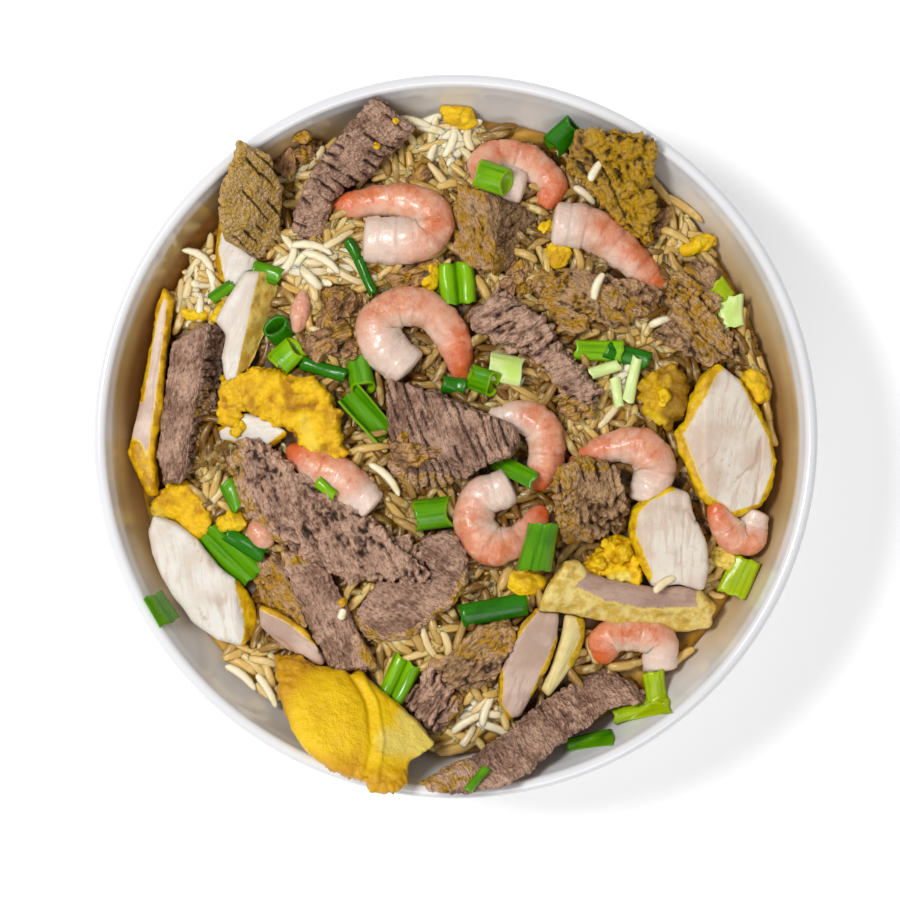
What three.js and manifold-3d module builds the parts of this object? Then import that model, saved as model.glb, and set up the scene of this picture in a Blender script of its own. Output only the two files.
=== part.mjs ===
// Fried rice: a deep white bowl heaped with long-grain rice, and over the rice sliced beef, curled
// shrimp, chicken with its yellow skin, egg and cut scallions. Millimetres, +Z up, the origin in the
// middle of the foot. Plan positions are [x, y] with the bowl's axis at [0, 0].
import * as THREE from "three";
import { mergeVertices } from "three/addons/utils/BufferGeometryUtils.js";
import Module from "manifold-3d";

const wasm = await Module();
wasm.setup();

// ---- driving sizes -------------------------------------------------------------------------------
const RIM_RADIUS = 110;
const RIM_Z = 76;
const WALL = 4;
const CAVITY = { radius: 107.2, depth: 80, above: 12 };   // half an ellipse, centred above the rim
const FLOOR_Z = 11;
const UNDERSIDE_Z = 6;
const FOOT_RADIUS = 48;
const FOOT_WIDTH = 5;
const BOWL_SIDES = 36;

const GAP = 0.35;           // clear distance kept between neighbours
const RICE_GAP = 1.2;       // and between the flat-sided bulk of the rice and the wall
const RICE_EDGE_Z = 57.5;   // where the rice meets the wall
const RICE_RISE = 11;       // how much higher its middle stands
const RICE_SIDES = 28;
const GRAIN_LENGTH = [9, 13];
const GRAIN_WIDTH = 2.7;
const GRAIN_SPACING = 9.7;

const SINK = 1.8;           // how deep a piece presses into what it lies on
const FIRM = 0.85;          // share of the food under a piece that it doesn't press deeper into
const STEEPEST = 0.6;       // the most a lying piece slopes
const CELL = 1.5;           // grid step of the height record

// ---- small helpers -------------------------------------------------------------------------------
/** Seeded random numbers from 0 to 1, the same on every run. */
function seeded(seed) {
  let state = seed;
  return () => {
    state = (state * 1664525 + 1013904223) % 4294967296;
    return state / 4294967296;
  };
}

/** Bare, welded copy of a geometry with no collapsed triangles. */
function welded(geometry) {
  const bare = geometry.clone();
  for (const name of ["normal", "uv"]) bare.deleteAttribute(name);
  const joined = mergeVertices(bare, 1e-4);
  const kept = [];
  const index = joined.index.array;
  for (let i = 0; i < index.length; i += 3) {
    const [a, b, c] = index.slice(i, i + 3);
    if (a !== b && b !== c && c !== a) kept.push(a, b, c);
  }
  joined.setIndex(kept);
  return joined;
}

function toBody(geometry) {
  const mesh = welded(geometry);
  return new wasm.Manifold(new wasm.Mesh({
    numProp: 3,
    vertProperties: new Float32Array(mesh.attributes.position.array),
    triVerts: new Uint32Array(mesh.index.array),
  }));
}

function toGeometry(body) {
  const mesh = body.getMesh();
  const geometry = new THREE.BufferGeometry();
  geometry.setAttribute("position", new THREE.BufferAttribute(new Float32Array(mesh.vertProperties), 3));
  geometry.setIndex(Array.from(mesh.triVerts));
  return geometry;
}

/** Move every vertex of a geometry: `move` takes and changes a Vector3. */
function reshape(geometry, move) {
  const position = geometry.attributes.position;
  const point = new THREE.Vector3();
  for (let i = 0; i < position.count; i += 1) {
    point.fromBufferAttribute(position, i);
    move(point);
    position.setXYZ(i, point.x, point.y, point.z);
  }
  return geometry;
}

/** The same body grown outwards by `by` on every side. */
function swollen(body, by) {
  const geometry = welded(toGeometry(body));
  geometry.computeVertexNormals();
  const normal = geometry.attributes.normal;
  const position = geometry.attributes.position;
  for (let i = 0; i < position.count; i += 1) {
    position.setXYZ(
      i,
      position.getX(i) + normal.getX(i) * by,
      position.getY(i) + normal.getY(i) * by,
      position.getZ(i) + normal.getZ(i) * by,
    );
  }
  return toBody(geometry);
}

/** The largest connected piece of a body, so that no scrap or sealed hollow stays with it. */
function largest(body) {
  return body.decompose().reduce((best, each) => (each.volume() > best.volume() ? each : best));
}

function boxesMeet(a, b) {
  const [p, q] = [a.boundingBox(), b.boundingBox()];
  return [0, 1, 2].every((k) => p.min[k] < q.max[k] && q.min[k] < p.max[k]);
}

function inside([x, y], outline) {
  let odd = false;
  for (let i = 0, j = outline.length - 1; i < outline.length; j = i, i += 1) {
    const [[ax, ay], [bx, by]] = [outline[i], outline[j]];
    if ((ay > y) !== (by > y) && x < ((bx - ax) * (y - ay)) / (by - ay) + ax) odd = !odd;
  }
  return odd;
}

// ---- bowl ----------------------------------------------------------------------------------------
/** Radius of the cavity, or with `grow` of the outside, at height z. */
function wallRadius(z, grow = 0) {
  const down = (RIM_Z + CAVITY.above - z) / (CAVITY.depth + grow);
  return (CAVITY.radius + grow) * Math.sqrt(Math.max(0, 1 - down * down));
}

/** Height of the cavity's wall at radius r. */
function wallHeight(r) {
  const z = RIM_Z + CAVITY.above - CAVITY.depth * Math.sqrt(1 - (r / CAVITY.radius) ** 2);
  return Math.max(FLOOR_Z, z);
}

function spaced(from, to, count) {
  return Array.from({ length: count }, (_, i) => from + ((to - from) * i) / (count - 1));
}

function bowl() {
  const lip = WALL / 2;
  const outside = spaced(13, RIM_Z - 4, 5).map((z) => [wallRadius(z, WALL), z]);
  const edge = spaced(0, 180, 5).map((degrees) => {
    const angle = THREE.MathUtils.degToRad(degrees);
    return [RIM_RADIUS - lip + lip * Math.cos(angle), RIM_Z - lip + lip * Math.sin(angle)];
  });
  const within = spaced(RIM_Z - 6, FLOOR_Z, 6).map((z) => [wallRadius(z), z]);
  const profile = [
    [0, UNDERSIDE_Z],
    [FOOT_RADIUS - FOOT_WIDTH - 1, UNDERSIDE_Z],
    [FOOT_RADIUS - FOOT_WIDTH, 0],
    [FOOT_RADIUS - 1.2, 0],
    [FOOT_RADIUS, 1.2],
    ...outside,
    ...edge,
    ...within,
    [0, FLOOR_Z],
  ];
  return toBody(new THREE.LatheGeometry(profile.map(([r, z]) => new THREE.Vector2(r, z)), BOWL_SIDES)
    .rotateX(Math.PI / 2));
}

// ---- rice ----------------------------------------------------------------------------------------
/** Slow rise and fall of the heap. */
function unevenness(x, y) {
  return 1.2 * Math.sin(0.13 * x + 1.3) * Math.cos(0.11 * y - 0.4) + 0.9 * Math.sin(0.09 * x - 0.17 * y + 2);
}

const RICE_EDGE = wallRadius(RICE_EDGE_Z) - RICE_GAP;

function riceTop(x, y) {
  const out = Math.min(1, Math.hypot(x, y) / RICE_EDGE);
  const dome = RICE_RISE * (1 - out * out) ** 0.75;
  return RICE_EDGE_Z + dome + unevenness(x, y) * (1 - out ** 6);
}

/** The bulk of the heap, filling the bowl up to the wall. */
function riceCore() {
  const under = spaced(FLOOR_Z + GAP, RICE_EDGE_Z, 5).map((z) => [wallRadius(z) - RICE_GAP, z]);
  const over = [0.86, 0.66, 0.44, 0.22].map((share) => [share * RICE_EDGE, RIM_Z]);
  const profile = [[0, FLOOR_Z + GAP], ...under, ...over, [0, RIM_Z]];
  const lathe = new THREE.LatheGeometry(profile.map(([r, z]) => new THREE.Vector2(r, z)), RICE_SIDES)
    .rotateX(Math.PI / 2);
  return toBody(reshape(lathe, (p) => {
    if (p.z > RICE_EDGE_Z) p.z = riceTop(p.x, p.y);
  }));
}

/** One long grain lying on the heap at [x, y]. */
function grain(x, y, heading, length) {
  const lift = GRAIN_WIDTH * 0.24;
  const spindle = new THREE.SphereGeometry(1, 5, 4)
    .scale(GRAIN_WIDTH / 2, length / 2, GRAIN_WIDTH / 2)
    .rotateZ(heading);
  return reshape(spindle, (p) => {
    p.x += x;
    p.y += y;
    p.z += riceTop(p.x, p.y) + lift;
  });
}

/** A rounded crumb lying on the heap: half sizes along, across and up, turned by `heading` degrees. */
function crumb([x, y], [along, across, up], heading) {
  const lump = new THREE.SphereGeometry(1, 6, 3)
    .rotateX(Math.PI / 2)
    .scale(along, across, up)
    .rotateZ(THREE.MathUtils.degToRad(heading));
  return reshape(lump, (p) => {
    p.x += x;
    p.y += y;
    p.z += riceTop(x, y) + up * 0.3;
  });
}

// ---- lying surfaces: what each piece rests on ------------------------------------------------------
const lying = new Map();      // cell -> { x, y, top, dish, covered }

function layBase() {
  const reach = Math.floor(RIM_RADIUS / CELL);
  for (let i = -reach; i <= reach; i += 1) {
    for (let j = -reach; j <= reach; j += 1) {
      const [x, y] = [i * CELL, j * CELL];
      const r = Math.hypot(x, y);
      if (r > RIM_RADIUS) continue;
      const dish = r > RICE_EDGE;
      const top = dish ? (r > RIM_RADIUS - WALL - 0.6 ? RIM_Z : wallHeight(r)) : riceTop(x, y);
      lying.set(`${i},${j}`, { x, y, top, dish, covered: false });
    }
  }
}

function cellAt([x, y]) {
  return lying.get(`${Math.round(x / CELL)},${Math.round(y / CELL)}`);
}

function cellsUnder(outline) {
  return [...lying.values()].filter((cell) => inside([cell.x, cell.y], outline));
}

/** Height over its middle at which a piece with the given slopes just rests on the cells under it. */
function restingHeight(cells, [slopeX, slopeY], sink) {
  const above = (cell) => cell.top - slopeX * cell.dx - slopeY * cell.dy;
  const food = cells.filter((cell) => !cell.dish).map((cell) => above(cell) - sink).sort((p, q) => p - q);
  const dish = cells.filter((cell) => cell.dish).map((cell) => above(cell) + GAP);
  return Math.max(...dish, food.length ? food[Math.floor(food.length * FIRM)] : 0);
}

/** The sloping plane on which a piece lies lowest, its outline's cells being raised by its thickness. */
function settle(outline, thick, sink = SINK, steepest = STEEPEST) {
  const cells = cellsUnder(outline);
  const [mx, my] = ["x", "y"].map((key) => cells.reduce((sum, cell) => sum + cell[key], 0) / cells.length);
  const seen = cells.map((cell) => ({ ...cell, dx: cell.x - mx, dy: cell.y - my }));
  let best = { slopes: [0, 0], height: restingHeight(seen, [0, 0], sink) };
  for (let step = steepest / 2; step > 0.01; step /= 2) {
    const [fromX, fromY] = best.slopes;
    for (const i of [-2, -1, 0, 1, 2]) {
      for (const j of [-2, -1, 0, 1, 2]) {
        const slopes = [fromX + i * step, fromY + j * step];
        if (Math.hypot(...slopes) > steepest) continue;
        const height = restingHeight(seen, slopes, sink);
        if (height < best.height - 1e-9) best = { slopes, height };
      }
    }
  }
  const plane = (x, y) => best.height + best.slopes[0] * (x - mx) + best.slopes[1] * (y - my);
  for (const cell of cells) {
    cell.top = Math.max(cell.top, plane(cell.x, cell.y) + thick);
    cell.covered = true;
  }
  return plane;
}

// ---- forms of the toppings -------------------------------------------------------------------------
/** Slice off what rises above a slope falling `degrees` to the right of the line a -> b. */
function bevel(body, [a, b], degrees, thick) {
  const away = Math.atan2(b[1] - a[1], b[0] - a[0]) - Math.PI / 2;
  const tilt = THREE.MathUtils.degToRad(degrees);
  const normal = [Math.cos(away) * Math.sin(tilt), Math.sin(away) * Math.sin(tilt), Math.cos(tilt)];
  const offset = normal[0] * a[0] + normal[1] * a[1] + normal[2] * thick;
  return body.trimByPlane(normal.map((value) => -value), -offset);
}

/** A slab of meat, skin or egg with rounded edges and, where it has them, sloping faces. */
function slab({ outline, thick, round = 1.3, faces = [], sink }) {
  const rest = settle(outline, thick, sink);
  const shape = new THREE.Shape(outline.map(([x, y]) => new THREE.Vector2(x, y)));
  const block = new THREE.ExtrudeGeometry(shape, {
    depth: thick - 2 * round,
    bevelThickness: round,
    bevelSize: round,
    bevelOffset: -round,
    bevelSegments: round > 2.5 ? 2 : 1,
  }).translate(0, 0, round);
  const faced = faces.reduce((body, face) => bevel(body, face.line, face.fall, thick), toBody(block));
  return toBody(reshape(toGeometry(faced), (p) => {
    p.z += rest(p.x, p.y);
  }));
}

/** The end of a path of [x, y, radius] entries, carried on past `end` by most of its radius. */
function tip(end, before) {
  const along = new THREE.Vector2(end[0] - before[0], end[1] - before[1]).setLength(0.75 * end[2]);
  return [end[0] + along.x, end[1] + along.y, end[2] * 0.96];
}

/** A shelled shrimp: a tapering round body bent along `path`, whose entries are [x, y, radius]. */
function shrimp({ path, squash = 0.82, sink }) {
  const whole = [tip(path[0], path[1]), ...path, tip(path.at(-1), path.at(-2))];
  const spine = new THREE.CatmullRomCurve3(whole.map((entry) => new THREE.Vector3(...entry)));
  const left = [];
  const right = [];
  for (const share of spaced(0, 1, 9)) {
    const centre = spine.getPointAt(share);
    const along = spine.getTangentAt(share);
    const side = new THREE.Vector2(-along.y, along.x).normalize().multiplyScalar(centre.z);
    left.push([centre.x + side.x, centre.y + side.y]);
    right.unshift([centre.x - side.x, centre.y - side.y]);
  }
  const rest = settle([...left, ...right], path[1][2] * 2 * squash, sink);
  const body = new THREE.CapsuleGeometry(1, spine.getLength() / path[0][2] - 2, 2, 7, 6);
  body.computeBoundingBox();
  const { min, max } = body.boundingBox;
  return toBody(reshape(welded(body), (p) => {
    const share = (p.y - min.y) / (max.y - min.y);
    const centre = spine.getPointAt(share);
    const along = spine.getTangentAt(share);
    const side = new THREE.Vector2(along.y, -along.x).normalize();
    const radius = centre.z;
    const [out, up] = [p.x * radius, p.z * radius * squash];
    p.x = centre.x + side.x * out;
    p.y = centre.y + side.y * out;
    p.z = rest(centre.x, centre.y) + up + radius * squash;
  }));
}

/** The four plan corners of a strip from a to b. */
function stripOutline(a, b, wide) {
  const along = new THREE.Vector2(b[0] - a[0], b[1] - a[1]).normalize();
  const [sx, sy] = [(-along.y * wide) / 2, (along.x * wide) / 2];
  return [[a[0] + sx, a[1] + sy], [a[0] - sx, a[1] - sy], [b[0] - sx, b[1] - sy], [b[0] + sx, b[1] + sy]];
}

/** Stand a shape extruded along +Z (its own x across, y up) along the strip from a to b. */
function layAlong(geometry, a, b, rest) {
  const along = new THREE.Vector2(b[0] - a[0], b[1] - a[1]).normalize();
  return toBody(reshape(welded(geometry), (p) => {
    const [across, up, run] = [p.x, p.y, p.z];
    p.x = a[0] + along.x * run - along.y * across;
    p.y = a[1] + along.y * run + along.x * across;
    p.z = up + rest(p.x, p.y);
  }));
}

/** A hollow length of scallion, pressed a little flat. */
function tube({ from, to, wide, high, wall = 1, sink = 0.8 }) {
  const length = Math.hypot(to[0] - from[0], to[1] - from[1]);
  const rest = settle(stripOutline(from, to, wide), high, sink);
  const ring = [[0.5 * wide, 0], [0.5 * wide, length], [0.5 * wide - wall, length], [0.5 * wide - wall, 0]];
  const profile = [...ring, ring[0]].map(([r, z]) => new THREE.Vector2(r, z));
  const hollow = new THREE.LatheGeometry(profile, 10)
    .rotateX(Math.PI / 2)
    .scale(1, high / wide, 1)
    .translate(0, high / 2, 0);
  return layAlong(hollow, from, to, rest);
}

/** A strap of leaf: `bends` lists the [across, up] points of its cross-section from edge to edge. */
function leaf({ from, to, bends, wall = 1, sink = 0.6, steepest }) {
  const length = Math.hypot(to[0] - from[0], to[1] - from[1]);
  const across = bends.map(([x]) => x);
  const wide = Math.max(...across) - Math.min(...across);
  const high = Math.max(...bends.map(([, up]) => up)) + wall;
  const rest = settle(stripOutline(from, to, wide), high, sink, steepest);
  const inner = [];
  const outer = [];
  bends.forEach(([x, up], i) => {
    const [px, py] = bends[Math.max(0, i - 1)];
    const [qx, qy] = bends[Math.min(bends.length - 1, i + 1)];
    const normal = new THREE.Vector2(-(qy - py), qx - px).normalize().multiplyScalar(wall / 2);
    outer.push(new THREE.Vector2(x + normal.x, up + normal.y + wall / 2));
    inner.unshift(new THREE.Vector2(x - normal.x, up - normal.y + wall / 2));
  });
  const strap = new THREE.ExtrudeGeometry(new THREE.Shape([...outer, ...inner]), {
    depth: length,
    bevelEnabled: false,
  });
  return layAlong(strap, from, to, rest);
}

/** Cross-section of an opened tube of radius r, from one angle to another (90 is straight up). */
function arc(radius, from, to, count = 6) {
  return spaced(from, to, count).map((degrees) => {
    const angle = THREE.MathUtils.degToRad(degrees);
    return [radius * Math.cos(angle), radius * (1 + Math.sin(angle))];
  });
}

/** Cross-section of a leaf creased into two round folds side by side. */
function twinFold(wide, high) {
  const half = [[0.1, 0.75], [0.25, 1], [0.42, 0.8], [0.5, 0]];
  const mirrored = half.map(([x, up]) => [-x, up]).reverse();
  return [...mirrored, [0, 0.25], ...half].map(([x, up]) => [x * wide, up * high]);
}

// ---- the toppings, lowest first --------------------------------------------------------------------
const TOPPINGS = [
  {
    name: "chicken_strip_left", food: "chicken", form: slab, thick: 8,
    outline: [[-89.5, 46], [-91.5, 40], [-94, 26], [-97, 10], [-100.5, -5], [-98.5, -10], [-94, -18.5],
      [-91, -18], [-92, -5], [-90, 8], [-88, 28], [-86, 42]],
    faces: [{ line: [[-90, 46], [-98, -4]], fall: 35 }],
  },
  {
    name: "chicken_bit_upper", food: "chicken", form: slab, thick: 7,
    outline: [[-72.5, 67], [-74, 57], [-72.5, 48], [-67, 45], [-62, 50], [-60, 56], [-67, 62]],
  },
  {
    name: "beef_back_left", food: "beef", form: slab, thick: 9,
    outline: [[-65, 88.5], [-69, 79], [-71, 74], [-72, 67], [-70, 60], [-60, 54.5], [-54, 57], [-53.5, 66],
      [-52.5, 76], [-56, 84]],
    faces: [{ line: [[-66, 56], [-57, 86]], fall: 28 }],
  },
  {
    name: "chicken_wedge_left", food: "chicken", form: slab, thick: 10,
    outline: [[-64, 50.5], [-69, 43], [-73.5, 35.5], [-70, 31], [-71.5, 24], [-70, 16.5], [-65, 17.5],
      [-61, 25], [-57.5, 34], [-54, 37.5], [-50, 41.5], [-58.5, 50.5]],
    faces: [{ line: [[-67, 17], [-60, 50]], fall: 40 }],
  },
  {
    name: "beef_left", food: "beef", form: slab, thick: 10,
    outline: [[-75.5, 35], [-86, 29], [-88, 20], [-90, 4], [-91, -6], [-89.5, -14], [-84, -14.5],
      [-79.5, -7], [-79, 4], [-73.5, 9], [-72, 20], [-70, 31]],
    faces: [{ line: [[-84, -8], [-75.5, 35]], fall: 42 }],
  },
  {
    name: "skin_left", food: "skin", form: slab, thick: 6,
    outline: [[-92, -19], [-92.5, -23.5], [-87, -28], [-80, -31], [-75.5, -30], [-74, -26], [-78.5, -18],
      [-83, -14], [-88.5, -15]],
  },
  {
    name: "chicken_slab_left", food: "chicken", form: slab, thick: 9,
    outline: [[-92.5, -24], [-94, -29], [-93, -36], [-88, -47], [-81, -56.5], [-73, -62.5], [-65.5, -64],
      [-60, -59.5], [-61.5, -52], [-65.5, -45], [-73, -39], [-79, -31], [-85, -26.5]],
    faces: [{ line: [[-66, -64], [-69, -44]], fall: 40 }],
  },
  {
    name: "scallion_fold_left", food: "scallion", form: leaf, from: [-77, -29], to: [-62, -43.5],
    bends: [[-4.6, 0.4], [-2.4, 1.8], [0, 1], [2.4, 2.2], [4.6, 0.6]],
  },
  {
    name: "beef_dark_lower", food: "beef", form: slab, thick: 6,
    outline: [[-61, -38], [-61.5, -46], [-59.5, -50], [-52, -54.5], [-45, -60], [-46, -50], [-50, -42],
      [-53, -37]],
  },
  {
    name: "chicken_strip_lower", food: "chicken", form: slab, thick: 7,
    outline: [[-60, -51.5], [-59.5, -58], [-53, -64], [-45, -69.5], [-40, -70], [-40.5, -64], [-46, -58.5],
      [-54, -53]],
  },
  {
    name: "scallion_twin_lower", food: "scallion", form: leaf, from: [-20, -80], to: [-14.6, -68.6],
    bends: twinFold(8.6, 3.4),
  },
  {
    name: "egg_half", food: "egg", form: slab, thick: 11, round: 3.4,
    outline: [[-55, -67], [-53.5, -78], [-50, -88], [-44, -96], [-36, -101], [-28, -103.5], [-24, -107],
      [-19, -107.5], [-15, -104.5], [-14, -98.5], [-6, -93.5], [-12, -86.5], [-22, -78], [-31, -71],
      [-43, -70], [-47, -67]],
    faces: [{ line: [[-20, -104], [-32, -74]], fall: 14 }],
  },
  {
    name: "beef_strip_lower", food: "beef", form: slab, thick: 8,
    outline: [[-53, -35], [-52, -40], [-48.5, -48], [-44, -60], [-38, -70.5], [-33, -71.5], [-24.5, -71],
      [-26, -66], [-30.5, -59], [-34, -50], [-39, -41], [-46, -36]],
  },
  {
    name: "beef_slice_lower", food: "beef", form: slab, thick: 7,
    outline: [[-31, -55], [-28, -61], [-21, -63], [-14, -61.5], [-8, -57], [0, -51], [4, -45], [4, -37],
      [1, -31], [-3, -28.5], [-10, -31], [-14, -42], [-24, -44], [-27, -49]],
  },
  {
    name: "chicken_bit_left", food: "chicken", form: slab, thick: 6,
    outline: [[-66, 7], [-73, 3], [-72, -1], [-64, -3], [-57, -3.5], [-50.5, 1.5], [-57, 7]],
  },
  {
    name: "beef_long", food: "beef", form: slab, thick: 10,
    outline: [[-65, -1.5], [-68.5, -10], [-64, -23], [-56, -31], [-50, -37], [-41, -40], [-33, -44.5],
      [-26, -43], [-16, -44], [-8, -44], [-9, -39], [-16, -33], [-27, -24], [-38, -16], [-50, -10.5],
      [-56, -5], [-59.5, -1.5]],
    faces: [{ line: [[-30, -44], [-66, -18]], fall: -38 }, { line: [[-9, -36], [-13, -46]], fall: -20 }],
  },
  {
    name: "shrimp_low_left", food: "shrimp", form: shrimp,
    path: [[-28, -19, 5.8], [-34, -13.5, 6.4], [-41, -9.5, 6], [-49, -5, 4]],
  },
  {
    name: "skin_arc", food: "skin", form: slab, thick: 7,
    outline: [[-73, 9], [-71, 3], [-66.5, 3.5], [-66, 8], [-57, 5.5], [-50, 1], [-44.5, -5], [-43, -12.5],
      [-36, -9], [-33.5, -5], [-36.5, 2], [-34.5, 7], [-38.5, 13], [-44, 18], [-53, 18.5], [-60.5, 22],
      [-66, 19], [-71, 17.5]],
    faces: [{ line: [[-70, 8], [-46, -2]], fall: 34 }],
  },
  {
    name: "scallion_left", food: "scallion", form: tube, from: [-54.6, 21.8], to: [-48.6, 27.4],
    wide: 8.6, high: 6,
  },
  {
    name: "beef_top", food: "beef", form: slab, thick: 8,
    outline: [[-24, 103], [-32, 95], [-38, 87.5], [-44.5, 79], [-49, 70], [-50, 62], [-46, 57.5], [-41, 57],
      [-39.5, 64], [-38.5, 72], [-34, 76], [-27, 79], [-22, 85], [-17, 89], [-12, 94.5], [-17.5, 97.5],
      [-20.5, 101]],
  },
  {
    name: "shrimp_top_left", food: "shrimp", form: shrimp,
    path: [[-23, 60, 7.3], [-17, 59.6, 7.2], [-9, 61, 6.6], [-7, 67.5, 6.2], [-14, 71.5, 5.8],
      [-24, 72.2, 4.9], [-33, 71, 3.8], [-41, 69, 1.8]],
  },
  {
    name: "beef_two_tone", food: "beef", form: slab, thick: 10,
    outline: [[1, 77], [-1, 66], [0, 57], [5, 52], [12, 50], [21, 53], [24.5, 59], [24.5, 68.5], [18, 72],
      [9, 74.5]],
    faces: [{ line: [[11.5, 49], [11, 75]], fall: 16 }, { line: [[10, 80], [12, 50]], fall: 22 }],
  },
  {
    name: "shrimp_top", food: "shrimp", form: shrimp,
    path: [[17.6, 77.4, 5.6], [11.5, 79, 5.6], [9.6, 84.2, 5.4], [17, 86, 5.3], [25, 82.5, 5.3],
      [29.5, 77, 5], [28, 71.6, 3.6]],
  },
  {
    name: "scallion_top", food: "scallion", form: tube, from: [6.4, 80.2], to: [15.6, 77.2],
    wide: 8.8, high: 7.6,
  },
  {
    name: "scallion_rim", food: "scallion", form: tube, from: [29.6, 88.8], to: [36.6, 95],
    wide: 8, high: 6.4,
  },
  {
    name: "beef_top_right", food: "beef", form: slab, thick: 9,
    outline: [[37, 92], [34.5, 85], [37.5, 79], [44, 72], [50, 66.5], [56, 60], [59.5, 59], [60, 68],
      [57.5, 75], [59.5, 82], [61, 89], [53, 91], [45, 92.5]],
    faces: [{ line: [[40, 94], [50, 66]], fall: -16 }],
  },
  {
    name: "beef_right", food: "beef", form: slab, thick: 9,
    outline: [[21, 49], [25, 44], [28, 38], [33, 32], [37.5, 31.5], [41.5, 37], [46, 33], [54, 35.5],
      [62, 38], [63, 44], [57, 46.5], [50, 47.5], [40, 50.5], [30, 51]],
    faces: [{ line: [[43, 52], [43.5, 32]], fall: -14 }, { line: [[41, 52], [41.5, 32]], fall: 14 }],
  },
  {
    name: "beef_shreds", food: "beef", form: slab, thick: 8,
    outline: [[67, 50], [65, 42], [66, 35], [60, 31], [66, 29], [72, 25], [78, 21.5], [84.5, 24], [86, 29],
      [80, 37], [81.5, 45], [81, 51], [74, 54]],
  },
  {
    name: "shrimp_right_top", food: "shrimp", form: shrimp,
    path: [[34.5, 64.5, 6.9], [41, 63.5, 6.7], [48, 59.5, 6], [56, 52.5, 5.2], [64.5, 45.5, 2.4]],
  },
  {
    name: "beef_diagonal", food: "beef", form: slab, thick: 9,
    outline: [[13, 45], [4.5, 37.5], [6, 32], [13, 29.5], [21, 25.5], [27, 20], [32, 14], [34, 7], [40, 5],
      [44, 13.5], [38, 20.5], [31, 28], [27, 35], [20, 40.5]],
    faces: [{ line: [[6, 34], [38, 11]], fall: 38 }],
  },
  {
    name: "scallion_pale", food: "scallion", form: tube, from: [10.4, 21.6], to: [20.6, 19.6],
    wide: 9, high: 6.8,
  },
  {
    name: "scallion_short", food: "scallion", form: tube, from: [4.2, 18.4], to: [11.6, 15.8],
    wide: 8, high: 7.2,
  },
  {
    name: "scallion_folded", food: "scallion", form: leaf, from: [-0.2, 53], to: [1, 40.4],
    bends: twinFold(10.4, 4.6),
  },
  {
    name: "shrimp_mid_right", food: "shrimp", form: shrimp,
    path: [[13, 5, 4.4], [20, 6, 5], [26, 3, 5.8], [27.6, -4, 5.8], [26.6, -11, 5], [23.6, -15.6, 3]],
  },
  {
    name: "beef_centre", food: "beef", form: slab, thick: 11,
    outline: [[-20.5, 16.5], [-20.5, 5], [-19, -3], [-20.5, -9], [-16, -14], [-13, -19], [-9.5, -15.5],
      [-4, -15.5], [3, -12.5], [9, -8.5], [17, -6], [19.5, -1], [17.5, 3.5], [11, 6.5], [3, 10], [-5, 13],
      [-14, 16]],
    faces: [{ line: [[-24, -5.5], [14, -9]], fall: 40 }, { line: [[20, 3], [-20, 15.5]], fall: 30 }],
  },
  {
    name: "scallion_split", food: "scallion", form: leaf, from: [-33, 13.6], to: [-21, 0],
    bends: arc(3.6, 170, 370),
  },
  {
    name: "scallion_open", food: "scallion", form: tube, from: [-30.6, 26.6], to: [-28.2, 14.4],
    wide: 8, high: 6.6,
  },
  {
    name: "shrimp_centre", food: "shrimp", form: shrimp,
    path: [[-17.4, 23.4, 6.9], [-21.8, 27.6, 7.2], [-23.6, 34, 6.6], [-17.5, 39, 6.2], [-8.5, 38.4, 6],
      [-2, 32, 5.4], [1, 24, 4.6], [1.6, 16, 1.8]],
  },
  {
    name: "egg_right", food: "egg", form: slab, thick: 8,
    outline: [[57, 17], [57, 11], [58.5, 4], [65, 3], [69, 7], [71.5, 14], [70, 19.5], [66, 22.5],
      [61, 20]],
  },
  {
    name: "chicken_strip_bottom", food: "chicken", form: slab, thick: 7,
    outline: [[33.5, -54], [32, -61], [29.5, -69], [26, -77.5], [28.5, -80], [32.5, -75], [37.5, -68],
      [40, -61], [39.5, -55]],
    faces: [{ line: [[29, -80], [38, -54]], fall: 30 }],
  },
  {
    name: "shrimp_bottom_right", food: "shrimp", form: shrimp,
    path: [[45.4, -66.5, 4.6], [46.8, -61.6, 5.2], [54.5, -60.6, 4.9], [62, -62.6, 5.6], [62.6, -68.4, 5.4]],
  },
  {
    name: "beef_bottom", food: "beef", form: slab, thick: 7.5,
    outline: [[46, -70.5], [39, -73.5], [31, -78.5], [22, -84.5], [14, -91.5], [7, -96.5], [-3, -100.5],
      [-11, -104], [-7, -107], [3, -107.5], [13, -106], [22, -102], [31, -94], [40, -88], [49, -82.5],
      [57.5, -82], [58, -78.5], [53, -75]],
  },
  {
    name: "beef_ragged_low", food: "beef", form: slab, thick: 8,
    outline: [[-7, -70.5], [-11, -75], [-16, -80], [-11, -87], [-5, -90.5], [0.5, -86], [1, -79],
      [-2, -75.5]],
    faces: [{ line: [[-9, -91], [-7, -70]], fall: -24 }],
  },
  {
    name: "beef_gold_low", food: "beef", form: slab, thick: 8,
    outline: [[7, -57.5], [2, -62], [-5, -70], [-4, -75], [0, -77], [8, -76], [13.5, -72], [17.5, -65],
      [19.5, -58.5], [13, -57]],
  },
  {
    name: "scallion_dark", food: "scallion", form: tube, from: [1.6, -54.8], to: [21.6, -51.2],
    wide: 7.2, high: 5,
  },
  {
    name: "chicken_bottom", food: "chicken", form: slab, thick: 9,
    outline: [[25, -52], [20, -57], [17, -64], [13.5, -73], [13.5, -82], [16, -86.5], [20, -85.5],
      [24, -78.5], [28, -71], [31, -62], [31.5, -54]],
  },
  {
    name: "chicken_curved", food: "chicken", form: slab, thick: 9,
    outline: [[33, -38], [28, -46], [25, -53], [34, -54], [44, -56], [56, -59], [70, -60], [78.5, -58.5],
      [80, -52], [75, -47], [68, -44], [60, -46], [52, -44], [41, -42], [37, -37.5]],
    faces: [{ line: [[79, -53.5], [34, -49]], fall: -24 }],
  },
  {
    name: "egg_crumbs", food: "egg", form: slab, thick: 7,
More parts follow.
